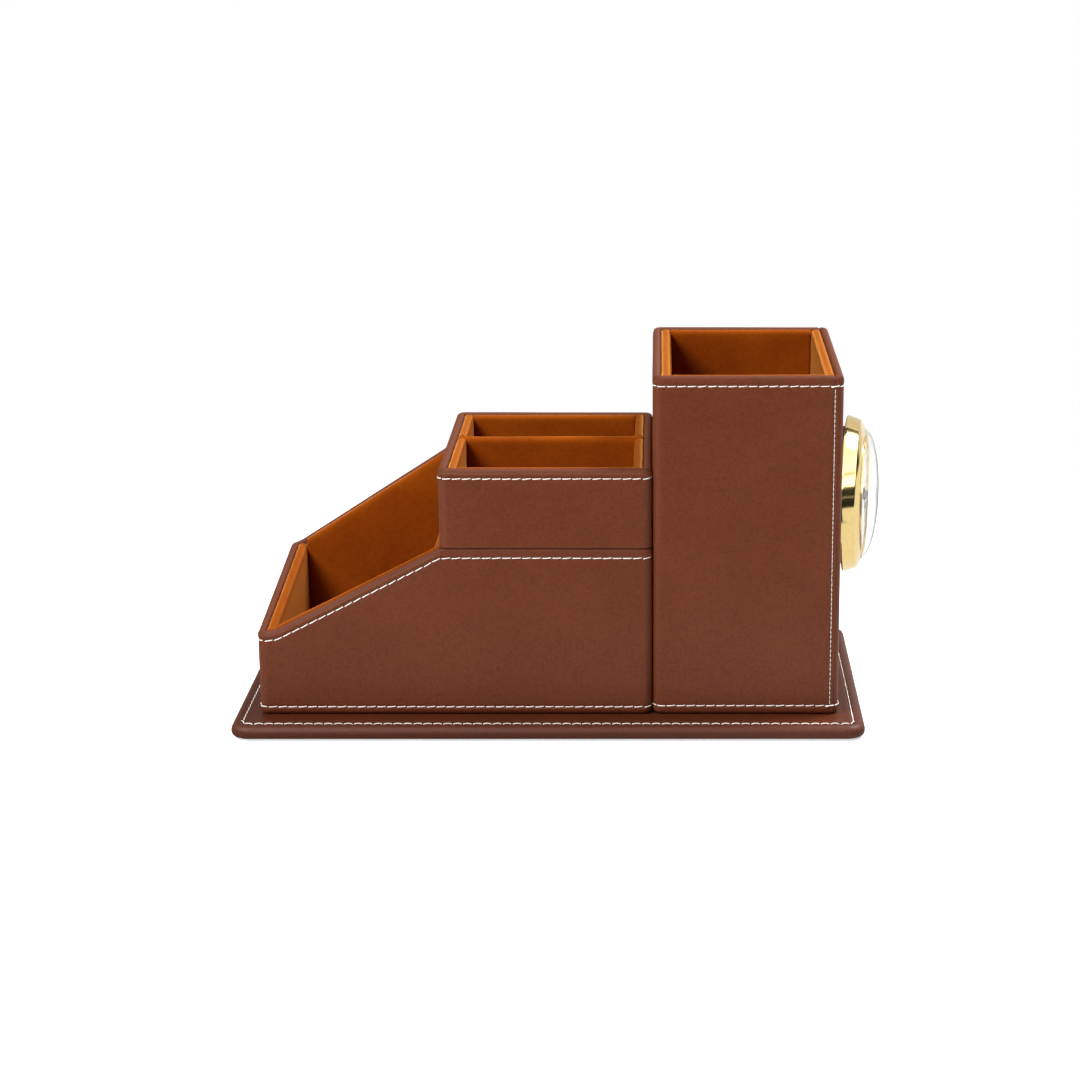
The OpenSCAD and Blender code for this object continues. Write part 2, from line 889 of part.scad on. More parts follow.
module clock_dial() {
    color(dial_color) clock_place() translate([0, 0, dial_seat]) difference() {
        cylinder(r = neck_radius - 2 * fit_gap, h = dial_thickness);
        translate([0, 0, -1]) cylinder(r = bush_radius + fit_gap, h = dial_thickness + 2);
    }
}

module clock_inner_ring() {
    color(gold_color) clock_place() rotate_extrude($fn = 96)
        polygon([[ring_bore, dial_top], [ring_radius, dial_top],
                 [ring_radius, dial_top + rim_lip]]);
}

// Three soft ribs around the barrel press against the bore
module clock_fitting_ring() {
    rib_pitch = 2.4;
    rib_width = 2;
    sleeve = 0.3;
    start = -clock_depth + 3;
    end = start + 3 * rib_pitch + 1;
    rib = [[sleeve, 0], [rib_height, rib_width / 2], [sleeve, rib_width]];
    color(black_color) clock_place() rotate_extrude()
        polygon(concat([[barrel_radius, end], [barrel_radius, start]],
                       [for (i = [0:2], point = rib)
                           [barrel_radius + point[0], start + i * rib_pitch + point[1]]],
                       [[barrel_radius + sleeve, end]]));
}

module clock_movement() {
    color(black_color) clock_place() difference() {
        union() {
            translate([-movement_length / 2, -movement_width / 2, movement_bottom])
                cube([movement_length, movement_width, -movement_bottom]);
            cylinder(r = bush_radius, h = bush_top);
        }
        translate([0, 0, arbor_foot - arbor_depth]) cylinder(r = bush_bore, h = beyond);
        translate([knob_offset, 0, movement_bottom - 1])
            cylinder(r = knob_arbor + arbor_clearance, h = arbor_depth + 2);
        translate([cell_offset, 0, movement_bottom - 1])
            cylinder(r = cell_radius + cell_clearance, h = cell_height + 1 + 2 * fit_gap);
    }
}

module clock_button_cell() {
    color(steel_color) clock_place()
        translate([cell_offset, 0, movement_bottom + fit_gap])
            cylinder(r = cell_radius, h = cell_height + fit_gap);
}

// A hand that points to twelve along the clock's upright, turned clockwise seen from the front
module hand(angle, reach, tail, width, level, pipe, bore) {
    belly = reach * 0.35;
    tail_width = width * 0.4;
    clock_place() rotate(-angle) difference() {
        union() {
            translate([-reach, 0, level]) linear_extrude(hand_thickness)
                polygon([[0, 0], [belly, width / 2], [reach + tail, tail_width / 2],
                         [reach + tail, -tail_width / 2], [belly, -width / 2]]);
            translate([0, 0, level]) cylinder(r = pipe + hand_hub, h = hand_thickness);
            translate([0, 0, arbor_foot]) cylinder(r = pipe, h = level - arbor_foot);
        }
        if (bore > 0) translate([0, 0, arbor_foot - 1]) cylinder(r = bore, h = beyond);
    }
}

minute_angle = 6 * minute_shown + second_shown / 10;
hour_angle = 30 * hour_shown + minute_angle / 12;

module hour_hand() {
    color(hand_color) hand(hour_angle, hour_length, 3, 2.4, hour_level, hour_pipe, hour_bore);
}

module minute_hand() {
    color(hand_color)
        hand(minute_angle, minute_length, 4, 1.8, minute_level, minute_pipe, minute_bore);
}

module second_hand() {
    color(hand_color) hand(6 * second_shown, second_length, 5, 0.7, second_level, second_pin, 0);
}

module setting_knob() {
    foot = -clock_depth - cell_clearance - knob_height;
    groove = 0.5;
    color(black_color) clock_place() translate([knob_offset, 0, foot]) {
        difference() {
            cylinder(r = knob_radius, h = knob_height);
            for (a = [0:30:330])
                rotate(a) translate([knob_radius, 0, -1]) cylinder(r = groove, h = knob_height + 2);
        }
        cylinder(r = knob_arbor, h = movement_bottom + arbor_depth - foot);
    }
}

base_board();
base_leather_cover();
base_felt();
case_bottom_board();
case_front_board();
case_back_board();
case_left_board();
case_right_board();
case_partition();
case_leather_cover();
tray_front_lining();
tray_back_lining();
tray_left_lining();
tray_right_lining();
tray_floor_pad();
well_front_lining();
well_back_lining();
well_left_lining();
well_right_lining();
well_floor_pad();
caddy_floor_board();
caddy_front_board();
caddy_back_board();
caddy_left_board();
caddy_right_board();
caddy_leather_cover();
caddy_front_lining();
caddy_back_lining();
caddy_divider();
caddy_near_left_lining();
caddy_near_right_lining();
caddy_far_left_lining();
caddy_far_right_lining();
caddy_near_floor_pad();
caddy_far_floor_pad();
tower_bottom_board();
tower_front_board();
tower_back_board();
tower_left_board();
tower_right_board();
tower_wrap_leather();
tower_clock_side_leather();
tower_front_lining();
tower_back_lining();
tower_left_lining();
tower_right_lining();
tower_floor_pad();
clock_case();
clock_bezel();
clock_lens();
clock_dial();
clock_inner_ring();
clock_fitting_ring();
clock_movement();
clock_button_cell();
hour_hand();
minute_hand();
second_hand();
setting_knob();
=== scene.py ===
"""Covers a desk organizer in stitched leather and padded suede, and finishes its clock.

The boards, the felt and the clock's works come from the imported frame. Lengths in this file are
in millimetres until a mesh is made, and the frame is in metres.
"""

import math

import bmesh
import bpy
import numpy as np
from bpy.props import (FloatProperty, FloatVectorProperty, IntProperty, PointerProperty)
from mathutils import Matrix, Vector


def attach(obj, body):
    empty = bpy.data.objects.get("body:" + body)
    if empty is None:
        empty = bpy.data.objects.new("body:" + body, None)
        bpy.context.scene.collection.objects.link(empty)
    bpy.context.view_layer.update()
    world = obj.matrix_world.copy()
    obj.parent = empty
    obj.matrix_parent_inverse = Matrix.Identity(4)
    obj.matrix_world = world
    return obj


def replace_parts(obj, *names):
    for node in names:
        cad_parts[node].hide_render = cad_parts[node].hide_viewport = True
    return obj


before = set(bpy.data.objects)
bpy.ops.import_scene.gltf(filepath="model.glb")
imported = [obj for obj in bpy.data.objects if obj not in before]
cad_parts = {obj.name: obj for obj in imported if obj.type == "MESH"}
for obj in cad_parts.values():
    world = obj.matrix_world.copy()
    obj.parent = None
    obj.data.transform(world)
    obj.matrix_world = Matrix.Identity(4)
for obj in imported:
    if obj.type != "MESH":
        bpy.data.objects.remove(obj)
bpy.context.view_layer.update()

bl_info = {
    "name": "Leather desk organizer",
    "version": (1, 0, 0),
    "blender": (4, 5, 0),
    "location": "View3D > Sidebar > Organizer",
    "description": "Stitched leather covers, suede linings and a clock for a desk organizer",
    "category": "Object",
}

MM = 0.001

# Places of the walls, which the boards underneath settle
BASE_LENGTH, BASE_DEPTH, BASE_TOP, BASE_RADIUS = 272.0, 146.0, 6.5, 8.0
FRONT, BACK = -56.0, 56.0
CASE_LEFT, WELL_LEFT, CASE_RIGHT = -125.0, -46.3, 44.5
TOWER_LEFT, TOWER_RIGHT = 45.0, 125.0
CADDY_LEFT = -46.0
CORNER = 3.75
WALL = 3.3
RELIEF = CORNER - WALL
CADDY_WALL = 3.7
LEATHER = 0.8
LINING = 4.5
CADDY_LINING = 4.1
DIVIDER = (4.5, 9.5)
RISE_START, BACK_RISE = 6.75, 3.0
TOWER_SEAM = TOWER_RIGHT - CORNER

# Heights above the base plate
TRAY_FRONT, TRAY_BACK = 37.2, 46.7
SEAM, BACK_PANEL = 74.0, 95.5
CADDY_TOP, TOWER_TOP = 109.0, 149.0
LEDGE = 60.0
FLOOR, PAD_TOP = 3.3, 5.3
JOINT_GAP = 0.3
# How far the linings' crests stay under the leather rims, or stand out at the tray's front
SINK, PROUD = 0.5, 0.3

# The clock's place: the back of its flange, and the angle it is turned by
CLOCK_ORIGIN = (129.9902, -4.7014, 92.0)
CLOCK_TURN = 8.0
CLOCK_BORE = 31.0


# ---------------------------------------------------------------- settings

class OrganizerStitching(bpy.types.PropertyGroup):
    pitch: FloatProperty(
        name="Stitch pitch", description="Distance from one stitch to the next",
        default=0.00427, min=0.002, max=0.01, unit="LENGTH", subtype="DISTANCE")
    thread: FloatProperty(
        name="Thread", description="Diameter of the thread",
        default=0.00074, min=0.0003, max=0.0015, unit="LENGTH", subtype="DISTANCE")
    share: FloatProperty(
        name="Stitch share", description="Share of the pitch that a stitch shows",
        default=0.81, min=0.4, max=0.95, subtype="FACTOR")
    slant: FloatProperty(
        name="Slant", description="Angle between a stitch and its row",
        default=math.radians(3.8), unit="ROTATION", subtype="ANGLE")
    seam_pitch: FloatProperty(
        name="Seam pitch", description="Distance between the stitches in the tower's seam",
        default=0.0021, min=0.001, max=0.005, unit="LENGTH", subtype="DISTANCE")
    thread_colour: FloatVectorProperty(
        name="Thread colour", description="Colour of the waxed thread",
        default=(0.98, 0.93, 0.85), size=3, subtype="COLOR")


class OrganizerLeather(bpy.types.PropertyGroup):
    colour: FloatVectorProperty(
        name="Leather", description="Colour of the leather",
        default=(0.122, 0.028, 0.0085), size=3, subtype="COLOR")
    # Darker than the leather: the rims and corners take it partly as wear and partly as painted
    # shade over their lamp-lit tops.
    rubbed: FloatVectorProperty(
        name="Rubbed And Shaded leather", description="Colour of the leather along its rubbed edges",
        default=(0.072, 0.0175, 0.0062), size=3, subtype="COLOR")
    grain: FloatProperty(
        name="Grain", description="Size of the grain's pebbles",
        default=0.0010, min=0.0002, max=0.004, unit="LENGTH", subtype="DISTANCE")


class OrganizerSuede(bpy.types.PropertyGroup):
    colour: FloatVectorProperty(
        name="Suede", description="Colour of the suede",
        default=(0.185, 0.031, 0.0009), size=3, subtype="COLOR")
    nap: FloatVectorProperty(
        name="Raised nap", description="Colour of the suede where its nap stands up",
        default=(0.25, 0.050, 0.0017), size=3, subtype="COLOR")
    fill: FloatProperty(
        name="Fill", description="How full the padding is, from slack to tight",
        default=0.7, min=0.0, max=1.0, subtype="FACTOR")
    pillow: FloatProperty(
        name="Pillow", description="How far a panel's middle swells",
        default=0.00045, min=0.0, max=0.002, unit="LENGTH", subtype="DISTANCE")


class OrganizerClock(bpy.types.PropertyGroup):
    gold: FloatVectorProperty(
        name="Gold", description="Colour of the plated bezel",
        default=(0.90, 0.67, 0.28), size=3, subtype="COLOR")
    dial: FloatVectorProperty(
        name="Dial", description="Colour of the dial",
        default=(0.86, 0.85, 0.83), size=3, subtype="COLOR")
    segments: IntProperty(
        name="Segments", description="Steps round the clock's turned pieces",
        default=128, min=24, max=256)


class OrganizerStage(bpy.types.PropertyGroup):
    key_power: FloatProperty(
        name="Key light", description="Power of the lamp above, at the left",
        default=29.0, min=0.0, max=200.0, unit="POWER")
    right_power: FloatProperty(
        name="Right light", description="Power of the lamp above and behind, at the right",
        default=38.0, min=0.0, max=200.0, unit="POWER")
    front_power: FloatProperty(
        name="Front light", description="Power of the soft lamp in front",
        default=6.0, min=0.0, max=200.0, unit="POWER")
    world: FloatProperty(
        name="Surrounding light", description="Strength of the light from all sides",
        default=0.09, min=0.0, max=2.0)


# ---------------------------------------------------------------- node helpers

def node(tree, kind, values=None, **settings):
    """Adds a node; a value is a constant or another node's output."""
    made = tree.nodes.new(kind)
    for key, value in settings.items():
        setattr(made, key, value)
    for key, value in (values or {}).items():
        socket = made.inputs[key]
        if isinstance(value, bpy.types.NodeSocket):
            tree.links.new(value, socket)
        else:
            socket.default_value = value
    return made


def new_group(name, kind, inputs, outputs):
    """A node group with named sockets, each given as (name, socket type, default)."""
    tree = bpy.data.node_groups.new(name, kind)
    for label, socket_type, default in inputs:
        socket = tree.interface.new_socket(name=label, in_out="INPUT", socket_type=socket_type)
        if default is not None:
            socket.default_value = default
    for label, socket_type in outputs:
        tree.interface.new_socket(name=label, in_out="OUTPUT", socket_type=socket_type)
    return tree, tree.nodes.new("NodeGroupInput").outputs, tree.nodes.new("NodeGroupOutput").inputs


def math_node(tree, operation, *values):
    return node(tree, "ShaderNodeMath", dict(enumerate(values)), operation=operation).outputs[0]


def mix_colour(tree, factor, first, second, blend="MIX"):
    made = tree.nodes.new("ShaderNodeMix")
    made.data_type = "RGBA"
    made.blend_type = blend
    for index, value in ((0, factor), (6, first), (7, second)):
        if isinstance(value, bpy.types.NodeSocket):
            tree.links.new(value, made.inputs[index])
        else:
            made.inputs[index].default_value = value
    return made.outputs[2]


def spread(tree, value, low, high, to_low=0.0, to_high=1.0):
    """Maps a value from one span to another, held at both ends."""
    return node(tree, "ShaderNodeMapRange",
                {"Value": value, "From Min": low, "From Max": high,
                 "To Min": to_low, "To Max": to_high}).outputs[0]


def rgba(colour):
    return (*colour, 1.0)


def leather_group():
    """Pebbled leather: tone, rubbed edges with painted shade, roughness and the height of its
    grain.
    """
    tree, given, result = new_group(
        "Leather surface", "ShaderNodeTree",
        [("Colour", "NodeSocketColor", (0.1, 0.04, 0.02, 1)),
         ("Rubbed And Shaded", "NodeSocketColor", (0.2, 0.08, 0.05, 1)),
         ("Wear And Shade", "NodeSocketFloat", 0.0),
         ("Grain Scale", "NodeSocketFloat", 1100.0)],
        [("Colour", "NodeSocketColor"), ("Roughness", "NodeSocketFloat"),
         ("Height", "NodeSocketFloat")])
    place = node(tree, "ShaderNodeTexCoord").outputs["Object"]
    cloud = node(tree, "ShaderNodeTexNoise",
                 {"Vector": place, "Scale": 28.0, "Detail": 4.0, "Roughness": 0.55}).outputs[0]
    mottle = node(tree, "ShaderNodeTexNoise",
                  {"Vector": place, "Scale": 420.0, "Detail": 3.0}).outputs[0]
    pebble = node(tree, "ShaderNodeTexVoronoi",
                  {"Vector": place, "Scale": given["Grain Scale"], "Randomness": 1.0},
                  feature="SMOOTH_F1").outputs["Distance"]
    pores = node(tree, "ShaderNodeTexNoise",
                 {"Vector": place, "Scale": 2600.0, "Detail": 2.0}).outputs[0]
    shade = spread(tree, cloud, 0.3, 0.7, 0.96, 1.04)
    fleck = spread(tree, mottle, 0.3, 0.7, 0.965, 1.035)
    tone = math_node(tree, "MULTIPLY", shade, fleck)
    valley = spread(tree, pebble, 0.25, 0.75, 1.06, 0.85)
    tone = math_node(tree, "MULTIPLY", tone, valley)
    toned = mix_colour(tree, 1.0, given["Colour"],
                       node(tree, "ShaderNodeCombineColor",
                            {0: tone, 1: tone, 2: tone}).outputs[0], "MULTIPLY")
    # Where the mask is high the colour turns darker, partly as wear and partly as painted shade
    # over the rims that the lamps light.
    patchy_wear_and_shade = math_node(tree, "MULTIPLY", given["Wear And Shade"], spread(tree, mottle, 0.25, 0.7, 0.45, 1.0))
    colour = mix_colour(tree, patchy_wear_and_shade, toned, given["Rubbed And Shaded"])
    tree.links.new(colour, result["Colour"])
    rough = spread(tree, cloud, 0.3, 0.7, 0.36, 0.46)
    rough = math_node(tree, "ADD", rough, math_node(tree, "MULTIPLY", given["Wear And Shade"], 0.35))
    tree.links.new(rough, result["Roughness"])
    height = math_node(tree, "ADD", math_node(tree, "MULTIPLY", pebble, -1.0),
                       math_node(tree, "MULTIPLY", pores, 0.35))
    tree.links.new(height, result["Height"])
    return tree


def suede_group():
    """Suede: a fine nap that is brushed lighter and darker in soft patches."""
    tree, given, result = new_group(
        "Suede surface", "ShaderNodeTree",
        [("Colour", "NodeSocketColor", (0.5, 0.18, 0.05, 1)),
         ("Nap", "NodeSocketColor", (0.7, 0.3, 0.1, 1))],
        [("Colour", "NodeSocketColor"), ("Roughness", "NodeSocketFloat"),
         ("Height", "NodeSocketFloat")])
    place = node(tree, "ShaderNodeTexCoord").outputs["Object"]
    brushed = node(tree, "ShaderNodeTexNoise",
                   {"Vector": place, "Scale": 32.0, "Detail": 3.0, "Distortion": 0.6}).outputs[0]
    tuft = node(tree, "ShaderNodeTexNoise",
                {"Vector": place, "Scale": 620.0, "Detail": 4.0, "Roughness": 0.7}).outputs[0]
    hair = node(tree, "ShaderNodeTexNoise",
                {"Vector": place, "Scale": 3200.0, "Detail": 2.0}).outputs[0]
    raised = math_node(tree, "ADD", math_node(tree, "MULTIPLY", brushed, 0.55),
                       math_node(tree, "MULTIPLY", tuft, 0.45))
    colour = mix_colour(tree, spread(tree, raised, 0.36, 0.64), given["Colour"], given["Nap"])
    speck = spread(tree, hair, 0.3, 0.7, 0.90, 1.08)
    colour = mix_colour(tree, 1.0, colour,
                        node(tree, "ShaderNodeCombineColor",
                             {0: speck, 1: speck, 2: speck}).outputs[0], "MULTIPLY")
    tree.links.new(colour, result["Colour"])
    tree.links.new(spread(tree, tuft, 0.3, 0.7, 0.86, 0.98), result["Roughness"])
    tree.links.new(math_node(tree, "ADD", tuft, math_node(tree, "MULTIPLY", hair, 0.6)),
                   result["Height"])
    return tree


def speckle_group():
    """A two-tone speckle with its own height, for felt, board, plastic and metal."""
    tree, given, result = new_group(
        "Speckled surface", "ShaderNodeTree",
        [("First", "NodeSocketColor", (0.5, 0.5, 0.5, 1)),
         ("Second", "NodeSocketColor", (0.4, 0.4, 0.4, 1)),
         ("Scale", "NodeSocketFloat", 800.0),
         ("Smooth", "NodeSocketFloat", 0.3),
         ("Rough", "NodeSocketFloat", 0.5)],
        [("Colour", "NodeSocketColor"), ("Roughness", "NodeSocketFloat"),
         ("Height", "NodeSocketFloat")])
    place = node(tree, "ShaderNodeTexCoord").outputs["Object"]
    speck = node(tree, "ShaderNodeTexNoise",
                 {"Vector": place, "Scale": given["Scale"], "Detail": 4.0,
                  "Roughness": 0.6}).outputs[0]
    cloud = node(tree, "ShaderNodeTexNoise",
                 {"Vector": place, "Scale": 60.0, "Detail": 2.0}).outputs[0]
    amount = spread(tree, speck, 0.35, 0.65)
    tree.links.new(mix_colour(tree, amount, given["First"], given["Second"]), result["Colour"])
    mixed = node(tree, "ShaderNodeMix", {0: spread(tree, cloud, 0.3, 0.7), 2: given["Smooth"],
                                         3: given["Rough"]}).outputs[0]
    tree.links.new(mixed, result["Roughness"])
    tree.links.new(speck, result["Height"])
    return tree


def shaded(name, group, values, bump, depth, wear_and_shade=None, **fixed):
    """A material whose colour, roughness and height come from a surface group."""
    material = bpy.data.materials.new(name)
    material.use_nodes = True
    tree = material.node_tree
    shader = tree.nodes["Principled BSDF"]
    surface = tree.nodes.new("ShaderNodeGroup")
    surface.node_tree = group
    for key, value in values.items():
        surface.inputs[key].default_value = value
    if wear_and_shade:
        mask = node(tree, "ShaderNodeAttribute", attribute_name=wear_and_shade)
        tree.links.new(mask.outputs["Fac"], surface.inputs["Wear And Shade"])
    tree.links.new(surface.outputs["Colour"], shader.inputs["Base Color"])
    tree.links.new(surface.outputs["Roughness"], shader.inputs["Roughness"])
    bumped = node(tree, "ShaderNodeBump", {"Height": surface.outputs["Height"],
                                           "Strength": bump, "Distance": depth * MM})
    tree.links.new(bumped.outputs[0], shader.inputs["Normal"])
    for key, value in fixed.items():
        shader.inputs[key.replace("_", " ")].default_value = value
    return material


MATERIALS = {}


def make_materials(scene):
    leather, suede = scene.organizer_leather, scene.organizer_suede
    clock, stitching = scene.organizer_clock, scene.organizer_stitching
    hide, nap, speckle = leather_group(), suede_group(), speckle_group()

    def speckled(name, first, second, scale, smooth, rough, bump, depth, **fixed):
        MATERIALS[name] = shaded(
            name, speckle, {"First": rgba(first), "Second": rgba(second), "Scale": scale,
                            "Smooth": smooth, "Rough": rough}, bump, depth, **fixed)

    MATERIALS["leather"] = shaded(
        "leather", hide, {"Colour": rgba(leather.colour), "Rubbed And Shaded": rgba(leather.rubbed),
                          "Grain Scale": 1 / leather.grain}, 0.5, 0.14, wear_and_shade="wear_and_shade",
        Specular_IOR_Level=0.22)
    # A darker copy of the leather for the base plate: painted shade, for the shade along the boxes'
    # feet and for its flat top, which the lamps above light strongly.
    MATERIALS["base_leather_painted_shade"] = shaded(
        "base_leather_painted_shade", hide, {"Colour": rgba([0.55 * c for c in leather.colour]),
                               "Rubbed And Shaded": rgba([0.8 * c for c in leather.rubbed]),
                               "Grain Scale": 1 / leather.grain}, 0.5, 0.14, wear_and_shade="wear_and_shade",
        Specular_IOR_Level=0.22)
    MATERIALS["suede"] = shaded(
        "suede", nap, {"Colour": rgba(suede.colour), "Nap": rgba(suede.nap)}, 0.5, 0.15,
        Specular_IOR_Level=0.04, Sheen_Weight=1.0, Sheen_Roughness=0.36,
        Sheen_Tint=(1.0, 0.41, 0.09, 1.0))
    speckled("thread", stitching.thread_colour, [0.92 * c for c in stitching.thread_colour],
             2400.0, 0.55, 0.7, 0.4, 0.08)
    speckled("board", (0.56, 0.43, 0.28), (0.42, 0.31, 0.19), 900.0, 0.8, 0.95, 0.3, 0.1)
    speckled("felt", (0.045, 0.025, 0.017), (0.075, 0.045, 0.032), 1500.0, 0.9, 1.0, 0.6, 0.3)
    speckled("gold", clock.gold, [0.95 * c for c in clock.gold], 500.0, 0.07, 0.12, 0.03, 0.02,
             Metallic=1.0)
    speckled("dial_white", clock.dial, [0.97 * c for c in clock.dial], 1800.0, 0.35, 0.45,
             0.05, 0.02)
    speckled("black_plastic", (0.010, 0.010, 0.011), (0.016, 0.016, 0.017), 2200.0, 0.4, 0.5,
             0.15, 0.05, Specular_IOR_Level=0.2)
    speckled("rubber", (0.012, 0.012, 0.012), (0.02, 0.02, 0.02), 1500.0, 0.6, 0.8, 0.2, 0.05)
    speckled("grey_metal", (0.06, 0.06, 0.062), (0.08, 0.08, 0.082), 900.0, 0.3, 0.4,
             0.05, 0.02, Metallic=0.5)
    speckled("ink", (0.015, 0.015, 0.016), (0.025, 0.025, 0.026), 2000.0, 0.7, 0.8, 0.05, 0.01,
             Specular_IOR_Level=0.1)
    speckled("steel", (0.48, 0.48, 0.49), (0.56, 0.56, 0.57), 700.0, 0.2, 0.35, 0.05, 0.02,
             Metallic=1.0)
    glass = bpy.data.materials.new("clear")
    glass.use_nodes = True
    tree = glass.node_tree
    shader = tree.nodes["Principled BSDF"]
    smear = node(tree, "ShaderNodeTexNoise",
                 {"Vector": node(tree, "ShaderNodeTexCoord").outputs["Object"], "Scale": 45.0,
                  "Detail": 3.0}).outputs[0]
    # The dome is clear when looked into, and along its outline its colour is painted dark: painted
    # shade standing in for the dark edge of a glass dome
    turned_away = node(tree, "ShaderNodeLayerWeight", {"Blend": 0.5}).outputs["Facing"]
    edge = spread(tree, turned_away, 0.88, 0.94)
    painted_outline_shade = spread(tree, edge, 0.0, 1.0, 0.97, 0.04)
    tree.links.new(node(tree, "ShaderNodeCombineColor",
                        {0: painted_outline_shade, 1: painted_outline_shade, 2: painted_outline_shade}).outputs[0],
                   shader.inputs["Base Color"])
    tree.links.new(spread(tree, turned_away, 0.82, 0.93, 0.16, 0.9), shader.inputs["Alpha"])
    tree.links.new(spread(tree, edge, 0.0, 1.0, 1.0, 0.0), shader.inputs["Transmission Weight"])
    smear = spread(tree, smear, 0.3, 0.8, 0.0, 0.04)
    tree.links.new(math_node(tree, "ADD", smear, math_node(tree, "MULTIPLY", edge, 0.8)),
                   shader.inputs["Roughness"])
    shader.inputs["IOR"].default_value = 1.3
    shader.inputs["Specular IOR Level"].default_value = 0.25
    MATERIALS["clear"] = glass


# ---------------------------------------------------------------- mesh helpers

def make_object(name, points, faces, material, wear_and_shade=None, sharp=55.0):
    """A mesh object from points in millimetres, closed and with its faces turned outwards."""
    mesh = bpy.data.meshes.new(name)
    mesh.from_pydata((np.asarray(points, float) * MM).tolist(), [], faces)
    # The mask that darkens the leather, partly as wear and partly as painted shade.
    if wear_and_shade is not None:
        attribute = mesh.attributes.new("wear_and_shade", "FLOAT", "POINT")
        attribute.data.foreach_set("value", np.clip(wear_and_shade, 0, 1).astype(np.float32).ravel())
    work = bmesh.new()
    work.from_mesh(mesh)
    bmesh.ops.remove_doubles(work, verts=work.verts, dist=1e-7)
    bmesh.ops.recalc_face_normals(work, faces=work.faces)
    work.to_mesh(mesh)
    work.free()
    mesh.polygons.foreach_set("use_smooth", [True] * len(mesh.polygons))
    mesh.set_sharp_from_angle(angle=math.radians(sharp))
    made = bpy.data.objects.new(name, mesh)
    bpy.context.scene.collection.objects.link(made)
    mesh.materials.append(material)
    return made


def section_faces(columns, rows, around):
    """Quads between neighbouring closed sections, with flat ends where they don't close."""
    i = np.arange(columns if around else columns - 1)[:, None]
    j = np.arange(rows)[None, :]
    following = (i + 1) % columns
    after = (j + 1) % rows
    quads = np.stack([i * rows + j, following * rows + j,
                      following * rows + after, i * rows + after], -1).reshape(-1, 4).tolist()
    if not around:
        quads.append(list(range(rows)))
        quads.append(list(range((columns - 1) * rows, columns * rows))[::-1])
    return quads


def stations(length, step, fine=()):
    """Distances along a line, with extra ones given from its start (>= 0) or its end (< 0)."""
    count = max(2, int(round(length / step)))
    regular = np.linspace(0, length, count + 1)
    extra = np.array([length + e if e < 0 else e for e in fine])
    if len(extra):
        regular = np.array([r for r in regular
                            if min(abs(r - e) for e in extra) > 0.3 * step or r in (0, length)])
    return np.unique(np.round(np.concatenate([regular, extra]), 5))


def outline(segments, step, around):
    """Columns along lines and corner arcs, anticlockwise from above: places and inward normals."""
    places, inward = [], []
    for index, segment in enumerate(segments):
        last = index == len(segments) - 1
        if segment[0] == "line":
            start, end = np.array(segment[1], float), np.array(segment[2], float)
            length = np.linalg.norm(end - start)
            heading = (end - start) / length
            normal = np.array([-heading[1], heading[0]])
            along = stations(length, step, segment[3] if len(segment) > 3 else ())
            run = [(start + heading * d, normal) for d in along]
        else:
            centre, first, final = np.array(segment[1], float), segment[2], segment[3]
            run = []
            for angle in np.radians(np.linspace(first, final, 9)):
                out = np.array([math.cos(angle), math.sin(angle)])
                run.append((centre + CORNER_RADII[segment[4]] * out, -out))
        if around or not last:
            run = run[:-1]
        places += [r[0] for r in run]
        inward += [r[1] for r in run]
    return np.array(places), np.array(inward)


CORNER_RADII = {"box": CORNER, "base": BASE_RADIUS}


def ring(left, right, front, back, kind, fine=((), (), (), ())):
    """A rounded rectangle's lines and corners, from its near left corner."""
    r = CORNER_RADII[kind]
    return [("line", (left + r, front), (right - r, front), fine[0]),
            ("arc", (right - r, front + r), -90, 0, kind),
            ("line", (right, front + r), (right, back - r), fine[1]),
            ("arc", (right - r, back - r), 0, 90, kind),
            ("line", (right - r, back), (left + r, back), fine[2]),
            ("arc", (left + r, back - r), 90, 180, kind),
            ("line", (left, back - r), (left, front + r), fine[3]),
            ("arc", (left + r, front + r), 180, 270, kind)]


def waves(a, b, seed):
    """A slow unevenness between -1 and 1 over two lengths in millimetres."""
    total = np.zeros(np.broadcast(a, b).shape)
    for k in range(5):
        phase = seed * 1.7 + k * 2.3
        total = total + np.sin(a / (9.0 + 6.1 * k) + 1.3 * phase) * \
            np.cos(b / (11.0 + 4.7 * k) + phase) / 2.2
    return np.clip(total, -1, 1)


class StitchRow:
    """A row of stitches along a cover: its points, and where each stitch falls."""

    def __init__(self, points, outward, closed, pitch):
        self.points = np.asarray(points, float)
        self.outward = np.asarray(outward, float)
        self.closed = closed
        ends = np.vstack([self.points, self.points[:1]]) if closed else self.points
        steps = np.linalg.norm(np.diff(ends, axis=0), axis=1)
        self.length = steps.sum()
        along = np.concatenate([[0], np.cumsum(steps)])[:len(self.points)]
        count = int(self.length / pitch)
        self.pitch = self.length / count
        # Distance from the nearest hole between two stitches
        self.from_hole = np.abs((along / self.pitch) % 1.0 - 0.5) * self.pitch


def stitched_dip(across, from_hole, pitch):
    """How far the leather is drawn in beside a row: a groove, deeper at the holes."""
    groove = 0.15 * np.exp(-(across / 0.5) ** 2)
    hole = 0.30 * np.exp(-(across / 0.42) ** 2) * np.exp(-(from_hole / 0.5) ** 2)
    pucker = 0.05 * np.exp(-(across / 1.9) ** 2) * np.cos(2 * np.pi * from_hole / pitch)
    return groove + hole + pucker


# ---------------------------------------------------------------- leather covers

TOP_ROWS = (-2.15, -1.6, -1.1, -0.7, -0.45, -0.22, 0, 0.22, 0.45, 0.7, 1.1, 1.7, 2.6, 4.2, 6.5)
FOOT_ROWS = (4.2, 2.7, 1.8, 1.2, 0.75, 0.45, 0.22, 0, -0.22, -0.45, -0.75, -1.1, -1.5)


